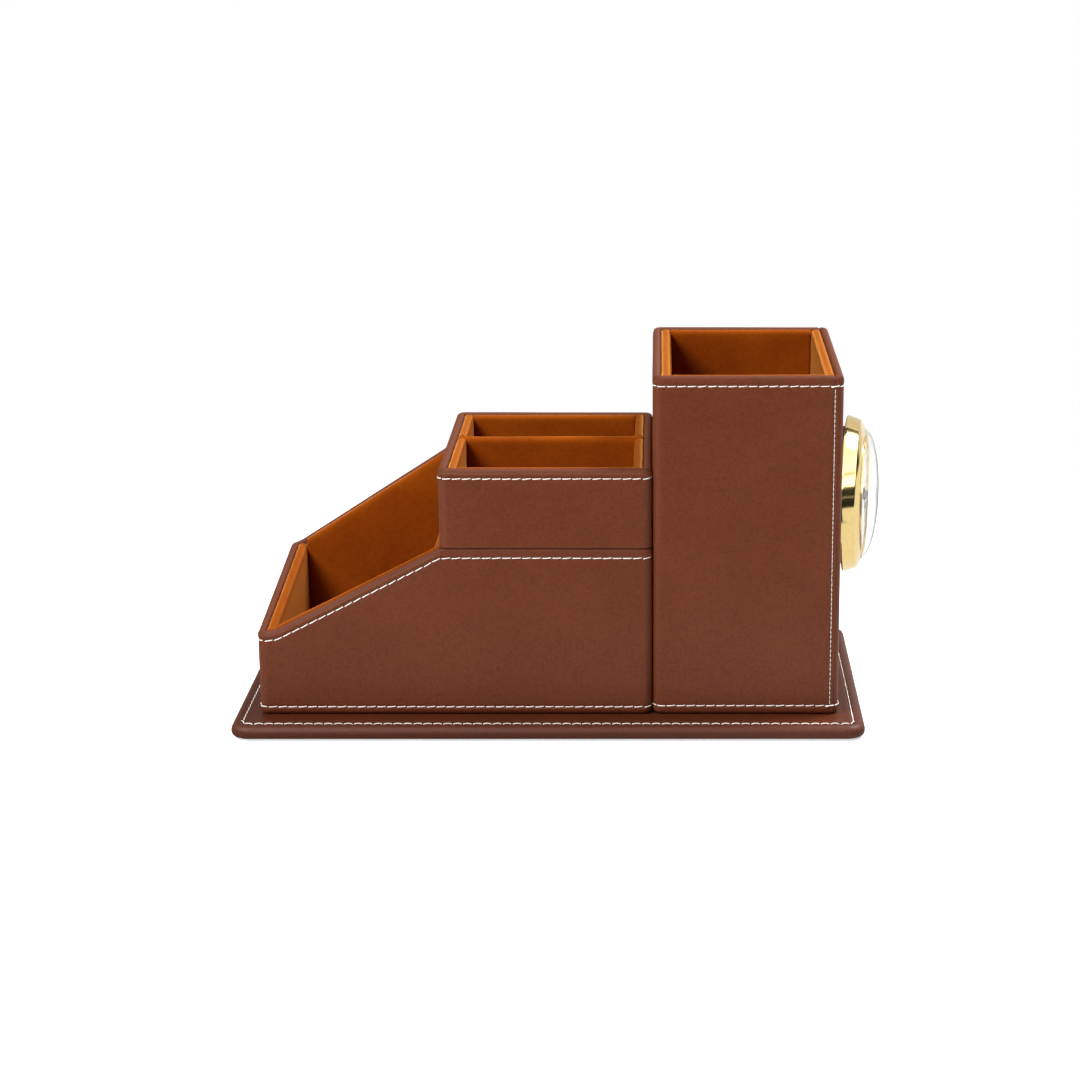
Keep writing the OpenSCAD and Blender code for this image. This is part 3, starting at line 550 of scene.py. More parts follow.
def rim_rows(row, rim, steep, radius, wall):
    """Rows over a rolled rim, from its inner side to its outer one."""
    # The rolled rim is marked high: its darker colour is partly wear and partly painted shade.
    for angle in np.radians(np.linspace(0, 90, 6)):
        row(wall - radius + radius * math.cos(angle),
            rim - radius * steep + radius * steep * math.sin(angle), wear_and_shade=0.9)
    for angle in np.radians(np.linspace(90, 180, 7)):
        row(radius + radius * math.cos(angle),
            rim - radius * steep + radius * steep * math.sin(angle),
            wear_and_shade=1.0 if angle < math.pi * 0.9 else 0.7)


def leather_cover(name, places, inward, around, rim, low, wall, below, radius=1.64, above=None,
                  hollow=True, edge=None, against=0.0, turn=12.0, proud=0.0, stitch_order=None,
                  pitch=4.27, seed=0.0):
    """A cover over a box's walls, rolled over the rim, with rows of stitches drawn into it.

    rim and low are the heights of each column's top and bottom, below is the distance of the
    upper row under the rim, and above is the height of the lower row over the foot. against is
    how far each column swells towards a box that it is pressed to, turn is how far the leather
    goes down inside, and proud is how far it stands out there.
    """
    n = len(places)
    rim = np.broadcast_to(np.asarray(rim, float), n)
    low = np.broadcast_to(np.asarray(low, float), n)
    radius = np.broadcast_to(np.asarray(radius, float), n)
    gaps = np.linalg.norm(np.roll(places, -1, 0) - places, axis=1)
    along = np.concatenate([[0], np.cumsum(gaps)[:-1]])
    slope = np.abs(np.roll(rim, -1) - rim) / np.maximum(gaps, 1e-6)
    slope = np.where(slope > 1.2, 0, slope)
    if not around:
        slope[-1] = 0
    steep = np.sqrt(1 + slope ** 2)
    kernel = np.ones(7) / 7
    padded = np.concatenate([steep[-3:], steep, steep[:3]]) if around else \
        np.concatenate([[1] * 3, steep, [1] * 3])
    steep = np.convolve(padded, kernel, "valid")
    rim = rim + 0.06 * waves(along, along * 0 + 3.0, seed)
    corner = np.clip(np.abs(inward[:, 0] * inward[:, 1]) * 2, 0, 1)

    def at(u, z):
        return np.column_stack([places + inward * np.reshape(u, (-1, 1)) if np.ndim(u)
                                else places + inward * u, np.broadcast_to(z, n) + BASE_TOP])

    order = np.arange(n) if stitch_order is None else stitch_order
    closed = around and stitch_order is None
    outward = np.column_stack([-inward, np.zeros(n)])
    stitches, holes = [], []
    for height in ([rim - below * steep] + ([low + above] if above else [])):
        points = at(np.zeros(n), height)
        made = StitchRow(points[order], outward[order], closed, pitch)
        from_hole = np.full(n, 9.0)
        from_hole[order] = made.from_hole
        stitches.append(made)
        holes.append((from_hole, made.pitch))

    rows, wear_and_shade_rows = [], []

    def row(u, z, wear_and_shade=0.0):
        rows.append(at(u, z))
        # The mask darkens the colour partly as wear and partly as painted shade, more on the
        # corners.
        wear_and_shade_rows.append(np.clip(0.7 * np.broadcast_to(wear_and_shade, n) + 0.3 * corner, 0, 1))

    def outer(z, wear_and_shade=0.0):
        """A row on the outer face, with the waviness and the drawn-in stitches."""
        depth = (rim - z) / steep
        swell = 0.07 * waves(along, z, seed + 1) * np.clip(depth / 6, 0, 1)
        swell = swell + 0.14 * np.sin(np.pi * np.clip(depth / below, 0, 1))
        swell = swell + against * np.clip(depth / 3, 0, 1)
        swell = swell - stitched_dip(depth - below, *holes[0])
        if above:
            rise = z - low
            swell = swell + 0.10 * np.sin(np.pi * np.clip(rise / above, 0, 1))
            swell = swell - stitched_dip(rise - above, *holes[1])
        if edge is not None:
            swell = swell - edge
        row(-swell, z, wear_and_shade)

    if hollow:
        row(wall + proud, rim - turn * steep)
        row(wall + proud, rim - 5 * steep)
    else:
        row(wall - 0.5, low)
        row(wall, low + 0.5)
        row(wall, rim - 5 * steep)
    rim_rows(row, rim if edge is None else rim - 0.8 * edge, steep, radius, wall)
    for offset in TOP_ROWS:
        depth = below + offset
        wear_and_shade = max(0.0, 0.55 * (1 - depth / 2.6)) + 0.12 * math.exp(-(offset / 0.8) ** 2)
        outer(rim - depth * steep, wear_and_shade)
    start = rim - (below + TOP_ROWS[-1]) * steep
    end = low + (above + FOOT_ROWS[0] if above else 1.2)
    for share in np.linspace(0, 1, 10)[1:-1]:
        outer(start + (end - start) * share)
    if above:
        for offset in FOOT_ROWS:
            outer(low + above + offset, 0.1 * math.exp(-(offset / 0.8) ** 2))
        foot = wall / 2
        for angle in np.radians(np.linspace(180, 270, 7)):
            row(foot + foot * math.cos(angle), low + foot + foot * math.sin(angle), wear_and_shade=0.45)
        row(3.4, low)
        row(3.4, low + LEATHER)
        row(foot, low + LEATHER)
    else:
        outer(low + 1.2, 0.1)
        outer(low + 0.8, 0.2)
        for angle in np.radians(np.linspace(180, 270, 5)):
            row(0.5 + 0.5 * math.cos(angle), low + 0.5 + 0.5 * math.sin(angle), wear_and_shade=0.3)
    if hollow:
        inner = np.maximum(radius - LEATHER, 0.1)
        row(LEATHER, low + wall / 2)
        row(LEATHER, rim - radius * steep)
        for angle in np.radians((150, 90)):
            row(LEATHER + inner + inner * math.cos(angle),
                rim - radius * steep + inner * math.sin(angle))
        for angle in np.radians((90, 30)):
            row(wall - LEATHER - inner + inner * math.cos(angle) + 0.02,
                rim - radius * steep + inner * math.sin(angle))
        row(wall - LEATHER, rim - radius * steep)
        row(wall - LEATHER, rim - turn * steep)
    sections = np.stack(rows, 1)
    wear_and_shade = np.stack(wear_and_shade_rows, 1)
    made = make_object(name, sections.reshape(-1, 3), section_faces(n, len(rows), around),
                       MATERIALS["leather"], wear_and_shade.reshape(-1))
    return made, stitches


def softened(x, xs, heights, reach=2.5):
    """Heights along a wall, with its bends rounded over a short reach."""
    return np.mean([np.interp(x + d, xs, heights) for d in np.linspace(-reach, reach, 11)], 0)


def case_rims(places):
    """The rim of the lower case at each column: two slopes, the seam and the back panel."""
    x, y = places[:, 0], places[:, 1]
    rise = CASE_LEFT + RISE_START
    front = softened(x, [CASE_LEFT, rise, WELL_LEFT, CASE_RIGHT],
                     [TRAY_FRONT, TRAY_FRONT, SEAM, SEAM])
    back = softened(x, [CASE_LEFT, CASE_LEFT + BACK_RISE, WELL_LEFT, CASE_RIGHT],
                    [TRAY_BACK, TRAY_BACK, BACK_PANEL, BACK_PANEL])
    left = softened(y, [FRONT, FRONT + RISE_START, BACK - RISE_START, BACK],
                    [TRAY_FRONT, TRAY_FRONT, TRAY_BACK, TRAY_BACK])
    post = BACK - CORNER
    right = np.interp(y, [post - 0.4, post - 0.3, post - 0.15, post],
                      [SEAM, BACK_PANEL - 0.6, BACK_PANEL - 0.15, BACK_PANEL])
    middle = y - FRONT < CORNER + 1e-6
    far = BACK - y < CORNER + 1e-6
    rim = np.where(middle, front, np.where(far, back, np.where(x < 0, left, right)))
    return rim


def base_cover(pitch):
    """The base plate's cover: a flat top, a rolled edge, and a flange under the board."""
    places, inward = outline(ring(-BASE_LENGTH / 2, BASE_LENGTH / 2, -BASE_DEPTH / 2,
                                  BASE_DEPTH / 2, "base"), 0.8, True)
    n = len(places)
    gaps = np.linalg.norm(np.roll(places, -1, 0) - places, axis=1)
    along = np.concatenate([[0], np.cumsum(gaps)[:-1]])
    foot_z, edge = 0.7, BASE_TOP - 0.7
    top_round, foot_round = edge * 0.55, edge * 0.35
    inset = 5.0
    level = BASE_TOP
    points = np.column_stack([places + inward * inset, np.full(n, level)])
    stitch = StitchRow(points, np.tile([0.0, 0.0, 1.0], (n, 1)), True, pitch)
    rows, wear_and_shade_rows = [], []

    def row(u, z, wear_and_shade=0.0):
        rows.append(np.column_stack([places + inward * u, np.broadcast_to(z, n)]))
        wear_and_shade_rows.append(np.full(n, wear_and_shade))

    for u in (7.5, 6.7, 6.2, 5.85, 5.6, 5.4, 5.2, 5.0, 4.8, 4.6, 4.4, 4.15, 3.8, 3.4):
        dip = stitched_dip(u - inset, stitch.from_hole, stitch.pitch)
        swell = 0.16 * math.exp(-((u - 3.6) / 0.9) ** 2) + 0.10 * math.exp(-((u - 6.3) / 0.8) ** 2)
        swell = swell + (0.04 * waves(along, u + along * 0, 5.0) if u < 7 else 0)
        row(u, level + swell - dip - 0.16, 0.12 * math.exp(-((u - inset) / 0.8) ** 2))
    # The rolled edge is marked: it darkens partly as wear and partly as painted shade.
    for angle in np.radians(np.linspace(90, 180, 9)):
        row(top_round + top_round * math.cos(angle),
            BASE_TOP - top_round + top_round * math.sin(angle), 0.25)
    for angle in np.radians(np.linspace(180, 270, 7)):
        row(foot_round + foot_round * math.cos(angle),
            foot_z + foot_round + foot_round * math.sin(angle), 0.15)
    row(7.5, foot_z)
    row(7.5, foot_z + LEATHER)
    row(foot_round, foot_z + LEATHER)
    row(LEATHER, foot_z + foot_round)
    row(LEATHER, BASE_TOP - top_round)
    row(top_round, BASE_TOP - LEATHER)
    row(7.5, BASE_TOP - LEATHER)
    sections = np.stack(rows, 1)
    count = len(rows)
    faces = [f for f in section_faces(n, count, True)
             if not (f[0] % count == count - 1 or f[3] % count == 0)]
    faces.append([i * count for i in range(n)])
    faces.append([i * count + count - 1 for i in range(n)][::-1])
    # The base plate takes the darker copy of the leather, which is painted shade.
    made = make_object("base_cover", sections.reshape(-1, 3), faces, MATERIALS["base_leather_painted_shade"],
                       np.stack(wear_and_shade_rows, 1).reshape(-1))
    return made, [stitch]


def clock_place():
    """The clock's own frame: its axis is local Z, and twelve o'clock is local -X."""
    return (Matrix.Translation(Vector(CLOCK_ORIGIN) * MM)
            @ Matrix.Rotation(math.radians(-CLOCK_TURN), 4, "Z")
            @ Matrix.Rotation(math.radians(90), 4, "Y"))


def cut_clock_bore(piece):
    """Cuts the clock's round opening through a piece of the tower's right wall."""
    mesh = bpy.data.meshes.new("bore")
    work = bmesh.new()
    bmesh.ops.create_cone(work, cap_ends=True, segments=96, radius1=CLOCK_BORE * MM,
                          radius2=CLOCK_BORE * MM, depth=60 * MM)
    work.transform(clock_place())
    work.to_mesh(mesh)
    work.free()
    cutter = bpy.data.objects.new("bore", mesh)
    bpy.context.scene.collection.objects.link(cutter)
    cut = piece.modifiers.new("bore", "BOOLEAN")
    cut.operation = "DIFFERENCE"
    cut.object = cutter
    cut.solver = "EXACT"
    keep_result(piece)
    bpy.data.objects.remove(cutter)


def keep_result(piece):
    """Turns what a piece's modifiers make into its own plain mesh."""
    bpy.context.view_layer.update()
    ready = piece.evaluated_get(bpy.context.evaluated_depsgraph_get())
    mesh = bpy.data.meshes.new_from_object(ready)
    piece.modifiers.clear()
    piece.data = mesh
    return piece


STITCHES = {"organizer": [], "caddy": [], "seams": []}


def end_dip(places, ends, reach=1.5, depth=0.8):
    """How far a hide's surface curls in towards its ends."""
    nearest = np.min([np.linalg.norm(places - np.array(e), axis=1) for e in ends], 0)
    share = np.clip(1 - nearest / reach, 0, 1)
    return depth * (1 - np.sqrt(1 - share ** 2 * 0.98))


def facing(inward, side):
    """1 on the columns whose inward side faces along X, falling to 0 round the corners."""
    return np.clip(side * inward[:, 0], 0, 1) ** 2


class ORGANIZER_OT_leather_covers(bpy.types.Operator):
    """Covers the base plate, the lower case, the caddy and the pen tower in leather"""
    bl_idname = "organizer.leather_covers"
    bl_label = "Leather covers"

    def execute(self, context):
        pitch = context.scene.organizer_stitching.pitch / MM
        step = pitch / 6
        made, rows = base_cover(pitch)
        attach(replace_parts(made, "base_leather_cover"), "organizer")
        STITCHES["organizer"] += rows

        post = (-0.4, -0.3, -0.15)
        places, inward = outline(ring(CASE_LEFT, CASE_RIGHT, FRONT, BACK, "box",
                                      ((), post, (), ())), step, True)
        rim = case_rims(places)
        under_well = softened(places[:, 0], [WELL_LEFT - 1, WELL_LEFT + 1], [0, 1], 1.0)
        under_caddy = np.where((places[:, 1] > 0) & (rim > SEAM + 1), 0, under_well)
        radius = 1.64 - 1.04 * under_caddy
        last = int(np.argmax(np.where(np.abs(rim - SEAM) < 1e-3, np.arange(len(rim)), -1)))
        first = int(np.argmax((np.arange(len(rim)) > last) & (rim > BACK_PANEL - 0.01)))
        order = np.concatenate([np.arange(first, len(rim)), np.arange(0, last - 1)])
        turn = 12 + (rim - LEDGE + 2 - 12) * under_well
        made, rows = leather_cover("case_cover", places, inward, True, rim, 0.0, WALL, 3.9,
                                   radius, above=3.4, against=0.2 * facing(inward, -1),
                                   turn=turn, proud=0.15 * under_well,
                                   stitch_order=order, pitch=pitch, seed=2.0)
        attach(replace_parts(made, "case_leather_cover"), "organizer")
        STITCHES["organizer"] += rows

        step_up = (-0.45, -0.35)
        step_down = (0.35, 0.45)
        places, inward = outline(ring(CADDY_LEFT, CASE_RIGHT, FRONT, BACK, "box",
                                      ((), step_up, (), step_down)), step, True)
        notch = BACK - CORNER - 0.4
        low = np.where(places[:, 1] > notch, BACK_PANEL + JOINT_GAP, SEAM + JOINT_GAP)
        made, rows = leather_cover("caddy_cover", places, inward, True, CADDY_TOP, low,
                                   CADDY_WALL, 4.1, 1.84, hollow=False,
                                   against=0.17 * facing(inward, -1), pitch=pitch, seed=4.0)
        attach(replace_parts(made, "caddy_leather_cover"), "caddy")
        STITCHES["caddy"] += rows

        fine = (0.12, 0.3, 0.5, 0.75, 1.1, 1.5)
        ends = [(TOWER_SEAM, FRONT), (TOWER_SEAM, BACK)]
        whole = ring(TOWER_LEFT, TOWER_RIGHT, FRONT, BACK, "box")
        near_end = tuple(-d for d in fine)
        wrap = [("line", (TOWER_SEAM, BACK), (TOWER_LEFT + CORNER, BACK), fine),
                whole[5], whole[6], whole[7],
                ("line", (TOWER_LEFT + CORNER, FRONT), (TOWER_SEAM, FRONT), near_end)]
        places, inward = outline(wrap, step, False)
        made, rows = leather_cover("tower_wrap", places, inward, False, TOWER_TOP, 0.0, WALL, 4.3,
                                   above=3.9, edge=end_dip(places, ends),
                                   against=0.15 * facing(inward, 1), pitch=pitch, seed=6.0)
        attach(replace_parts(made, "tower_wrap_leather"), "organizer")
        STITCHES["organizer"] += rows
        places, inward = outline([whole[1], whole[2], whole[3]], step, False)
        made, rows = leather_cover("tower_clock_side", places, inward, False, TOWER_TOP, 0.0,
                                   WALL, 4.3, above=3.9, edge=end_dip(places, ends),
                                   pitch=pitch, seed=7.0)
        cut_clock_bore(made)
        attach(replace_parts(made, "tower_clock_side_leather"), "organizer")
        STITCHES["organizer"] += rows
        for y, out in ((FRONT, -1.0), (BACK, 1.0)):
            heights = np.arange(5.4, TOWER_TOP - 5.6, 1.0)
            points = np.column_stack([np.full(len(heights), TOWER_SEAM),
                                      np.full(len(heights), y - 0.28 * out), heights + BASE_TOP])
            STITCHES["seams"].append((points, np.tile([0.0, out, 0.0], (len(heights), 1))))
        return {"FINISHED"}


# ---------------------------------------------------------------- stitching

def stitching_tree():
    """Geometry nodes that lay arched stitches along edges, turned to their surface."""
    tree = bpy.data.node_groups.new("Stitching", "GeometryNodeTree")
    sockets = {}
    for label, kind, default in (
            ("Geometry", "NodeSocketGeometry", None), ("Pitch", "NodeSocketFloat", 0.004),
            ("Share", "NodeSocketFloat", 0.84), ("Thread", "NodeSocketFloat", 0.0006),
            ("Arch", "NodeSocketFloat", 0.0003), ("Slant", "NodeSocketFloat", 0.08),
            ("Unevenness", "NodeSocketFloat", 0.05), ("Seed", "NodeSocketInt", 3),
            ("Material", "NodeSocketMaterial", None)):
        socket = tree.interface.new_socket(name=label, in_out="INPUT", socket_type=kind)
        if default is not None:
            socket.default_value = default
        sockets[label] = socket.identifier
    tree.interface.new_socket(name="Geometry", in_out="OUTPUT", socket_type="NodeSocketGeometry")
    given = tree.nodes.new("NodeGroupInput").outputs
    result = tree.nodes.new("NodeGroupOutput").inputs
    rows = node(tree, "GeometryNodeMeshToCurve", {"Mesh": given["Geometry"]})
    spaced = node(tree, "GeometryNodeResampleCurve",
                  {"Curve": rows.outputs[0], "Length": given["Pitch"]}, mode="LENGTH")
    tangent = node(tree, "GeometryNodeInputTangent").outputs[0]
    facing = node(tree, "GeometryNodeInputNamedAttribute", {"Name": "outward"},
                  data_type="FLOAT_VECTOR").outputs[0]
    uneven = node(tree, "FunctionNodeRandomValue",
                  {"Min": -1.0, "Max": 1.0, "Seed": given["Seed"]}, data_type="FLOAT")
    # The float sockets of the random node stand behind its vector ones
    uneven.inputs[2].default_value, uneven.inputs[3].default_value = -1.0, 1.0
    amount = math_node(tree, "MULTIPLY", uneven.outputs[1], given["Unevenness"])
    along = node(tree, "FunctionNodeAlignRotationToVector", {"Vector": tangent}, axis="X")
    turned = node(tree, "FunctionNodeAlignRotationToVector",
                  {"Rotation": along.outputs[0], "Vector": facing}, axis="Z", pivot_axis="X")
    lean = math_node(tree, "ADD", given["Slant"], amount)
    spin = node(tree, "FunctionNodeAxisAngleToRotation", {"Axis": (0, 0, 1), "Angle": lean})
    rotation = node(tree, "FunctionNodeRotateRotation",
                    {"Rotation": turned.outputs[0], "Rotate By": spin.outputs[0]},
                    rotation_space="LOCAL")
    half = math_node(tree, "MULTIPLY", math_node(tree, "MULTIPLY", given["Pitch"],
                                                 given["Share"]), 0.5)
    inner = math_node(tree, "MULTIPLY", half, 0.62)
    low = math_node(tree, "MULTIPLY", given["Arch"], -1.1)

    def point(x, z):
        return node(tree, "ShaderNodeCombineXYZ", {"X": x, "Z": z}).outputs[0]

    arch = node(tree, "GeometryNodeCurvePrimitiveBezierSegment",
                {"Resolution": 8,
                 "Start": point(math_node(tree, "MULTIPLY", half, -1.0), low),
                 "Start Handle": point(math_node(tree, "MULTIPLY", inner, -1.0), given["Arch"]),
                 "End Handle": point(inner, given["Arch"]),
                 "End": point(half, low)})
    ends = node(tree, "ShaderNodeFloatCurve",
                {"Value": node(tree, "GeometryNodeSplineParameter").outputs["Factor"]})
    shape = ends.mapping.curves[0].points
    shape[0].location, shape[1].location = (0.0, 0.55), (1.0, 0.55)
    for x, y in ((0.14, 0.98), (0.5, 0.88), (0.86, 0.98)):
        shape.new(x, y)
    ends.mapping.update()
    thick = node(tree, "GeometryNodeSetCurveRadius",
                 {"Curve": arch.outputs[0],
                  "Radius": math_node(tree, "MULTIPLY", ends.outputs[0], given["Thread"])})
    circle = node(tree, "GeometryNodeCurvePrimitiveCircle", {"Resolution": 7, "Radius": 0.5})
    thread = node(tree, "GeometryNodeCurveToMesh",
                  {"Curve": thick.outputs[0], "Profile Curve": circle.outputs[0],
                   "Fill Caps": True})
    if "Scale" in thread.inputs:
        tree.links.new(math_node(tree, "MULTIPLY", ends.outputs[0], given["Thread"]),
                       thread.inputs["Scale"])
    placed = node(tree, "GeometryNodeInstanceOnPoints",
                  {"Points": spaced.outputs[0], "Instance": thread.outputs[0],
                   "Rotation": rotation.outputs[0]})
    real = node(tree, "GeometryNodeRealizeInstances", {"Geometry": placed.outputs[0]})
    smooth = node(tree, "GeometryNodeSetShadeSmooth", {"Geometry": real.outputs[0]})
    finished = node(tree, "GeometryNodeSetMaterial",
                    {"Geometry": smooth.outputs[0], "Material": given["Material"]})
    tree.links.new(finished.outputs[0], result[0])
    return tree, sockets


def row_object(name, rows):
    """A mesh of edges along rows of stitches: each row is points, facings and closed or not."""
    points, edges, facings = [], [], []
    for places, outward, closed in rows:
        start, count = len(points), len(places)
        points += (np.asarray(places) * MM).tolist()
        facings += np.asarray(outward).tolist()
        edges += [(start + i, start + i + 1) for i in range(count - 1)]
        if closed:
            edges.append((start + count - 1, start))
    mesh = bpy.data.meshes.new(name)
    mesh.from_pydata(points, edges, [])
    attribute = mesh.attributes.new("outward", "FLOAT_VECTOR", "POINT")
    attribute.data.foreach_set("vector", np.array(facings, np.float32).ravel())
    made = bpy.data.objects.new(name, mesh)
    bpy.context.scene.collection.objects.link(made)
    return made


def lay_stitches(name, rows, tree, sockets, body, **values):
    made = row_object(name, rows)
    laid = made.modifiers.new("stitches", "NODES")
    laid.node_group = tree
    for label, value in values.items():
        laid[sockets[label]] = value
    laid[sockets["Material"]] = MATERIALS["thread"]
    keep_result(made)
    made.data.name = name
    if not made.data.polygons:
        raise RuntimeError(name + " came out empty")
    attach(made, body)
    return made


class ORGANIZER_OT_stitching(bpy.types.Operator):
    """Lays the cream stitches along the rims, the feet, the base plate and the tower's seams"""
    bl_idname = "organizer.stitching"
    bl_label = "Stitching"

    def execute(self, context):
        settings = context.scene.organizer_stitching
        tree, sockets = stitching_tree()
        common = {"Share": settings.share, "Thread": settings.thread, "Slant": settings.slant,
                  "Arch": 0.00026, "Unevenness": 0.04}
        for body in ("organizer", "caddy"):
            rows = []
            for r in STITCHES[body]:
                rows.append((r.points, r.outward, r.closed))
            lay_stitches(body + "_stitches", rows, tree, sockets, body,
                         Pitch=settings.pitch, **common)
        seams = [(points, outward, False) for points, outward in STITCHES["seams"]]
        lay_stitches("tower_seam_stitches", seams, tree, sockets, "organizer",
                     Pitch=settings.seam_pitch, Share=0.7, Thread=0.0005, Slant=0.0,
                     Arch=0.00022, Unevenness=0.12)
        return {"FINISHED"}


# ---------------------------------------------------------------- suede

def padded_panel(name, start, end, facing, thickness, top, bottom, pillow, both=False, seed=0.0):
    """A suede-lined panel: flat behind, padded in front, with a soft round top.

    start and end are on its back, facing points into the compartment, and top gives its
    height along its length.
    """
    start, end, facing = (np.array(v, float) for v in (start, end, facing))
    length = np.linalg.norm(end - start)
    heading = (end - start) / length
    fine = (0.12, 0.3, 0.6, 1.0, 1.6, -1.6, -1.0, -0.6, -0.3, -0.12)
    along = stations(length, 2.0, fine)
    n = len(along)
    crest = top(along)
    slope = np.gradient(crest, along)
    steep = np.sqrt(1 + slope ** 2)
    nearest = np.minimum(along, length - along)
    round_end = 0.9
    share = np.clip(1 - nearest / round_end, 0, 1)
    inset = round_end * (1 - np.sqrt(1 - share ** 2 * 0.97))
    crest = crest - 0.7 * inset + 0.08 * waves(along, along * 0, seed)
    half = thickness / 2
    rows = []

    def row(w, z):
        place = start + heading * along[:, None] + facing * np.reshape(
            np.broadcast_to(w, n), (-1, 1))
        rows.append(np.column_stack([place, np.broadcast_to(z, n) + BASE_TOP]))

    def swell(z):
        below = np.clip((crest - z) / steep, 0, None)
        full = (1 - np.exp(-nearest / 7)) * (1 - np.exp(-below / 7))
        full = full * (1 - np.exp(-np.clip(z - bottom, 0, None) / 8))
        return pillow * full + 0.09 * waves(along, z, seed + 2) * full

    shares = 1 - np.linspace(0, 1, 15) ** 1.35
    tall = crest - half * steep - bottom
    if both:
        for s in shares[::-1]:
            z = bottom + tall * s
            row(inset - swell(z), z)
    else:
        row(0, bottom)
        row(0, bottom + tall * 0.5)
        row(0, bottom + tall)
    for angle in np.radians(np.linspace(180, 0, 13)[1:-1]):
        # A little squarer than a half circle, as folded suede over padding is
        c, s = math.cos(angle), math.sin(angle)
        w = half + half * math.copysign(abs(c) ** 0.9, c)
        low_side = inset * (1 + c) / 2 + (inset * (1 - c) / 2 if both else 0)
        row(w - low_side * (1 if c > 0 or not both else -1), crest - half * steep * (1 - s ** 0.9))
    for s in shares:
        z = bottom + tall * s
        row(thickness - inset + swell(z), z)
    made = make_object(name, np.stack(rows, 1).reshape(-1, 3),
                       section_faces(n, len(rows), False), MATERIALS["suede"], sharp=65)
    return made


def padded_floor(name, x, y, bottom, top, seed):
    """A suede floor pad with soft edges and a slight crown."""
    edge = (0.15, 0.4, 0.8, 1.3, 2.0)
    across = stations(x[1] - x[0], 3.0, edge + tuple(-e for e in edge))
    deep = stations(y[1] - y[0], 3.0, edge + tuple(-e for e in edge))
    u, v = np.meshgrid(across, deep, indexing="ij")
    near = np.minimum(np.minimum(u, across[-1] - u), np.minimum(v, deep[-1] - v))
    share = np.clip(1 - near / 1.3, 0, 1)
    height = top - 1.0 * (1 - np.sqrt(1 - share ** 2 * 0.98)) + 0.3 * (1 - np.exp(-near / 9)) \
        + 0.1 * waves(u, v, seed) * np.clip(near / 4, 0, 1)
    nu, nv = len(across), len(deep)
    upper = np.column_stack([(x[0] + u).ravel(), (y[0] + v).ravel(), (height + BASE_TOP).ravel()])
    rim = ([i * nv for i in range(nu)] + [(nu - 1) * nv + j for j in range(1, nv)]
           + [i * nv + nv - 1 for i in range(nu - 2, -1, -1)] + list(range(nv - 2, 0, -1)))
    lower = upper[rim].copy()
    lower[:, 2] = bottom + BASE_TOP
    i, j = (a.ravel() for a in np.meshgrid(np.arange(nu - 1), np.arange(nv - 1), indexing="ij"))
    faces = np.stack([i * nv + j, (i + 1) * nv + j, (i + 1) * nv + j + 1, i * nv + j + 1],
                     -1).tolist()
    base, count = nu * nv, len(rim)
    faces += [[rim[k], rim[(k + 1) % count], base + (k + 1) % count, base + k]
              for k in range(count)]
    faces.append([base + k for k in range(count)])
    made = make_object(name, np.vstack([upper, lower]), faces, MATERIALS["suede"], sharp=60)
    return made


def level(height):
    return lambda along: np.full(len(along), float(height))


def rising(start_x, low, high, rise=RISE_START):
    """A rim that follows the tray's slope, from a panel that starts at a place in X."""
    run = WELL_LEFT - CASE_LEFT - rise
    slope = (high - low) / run
    return lambda along: np.minimum(
        low + slope * np.maximum(along + start_x - CASE_LEFT - rise, -1.0), high + 3)


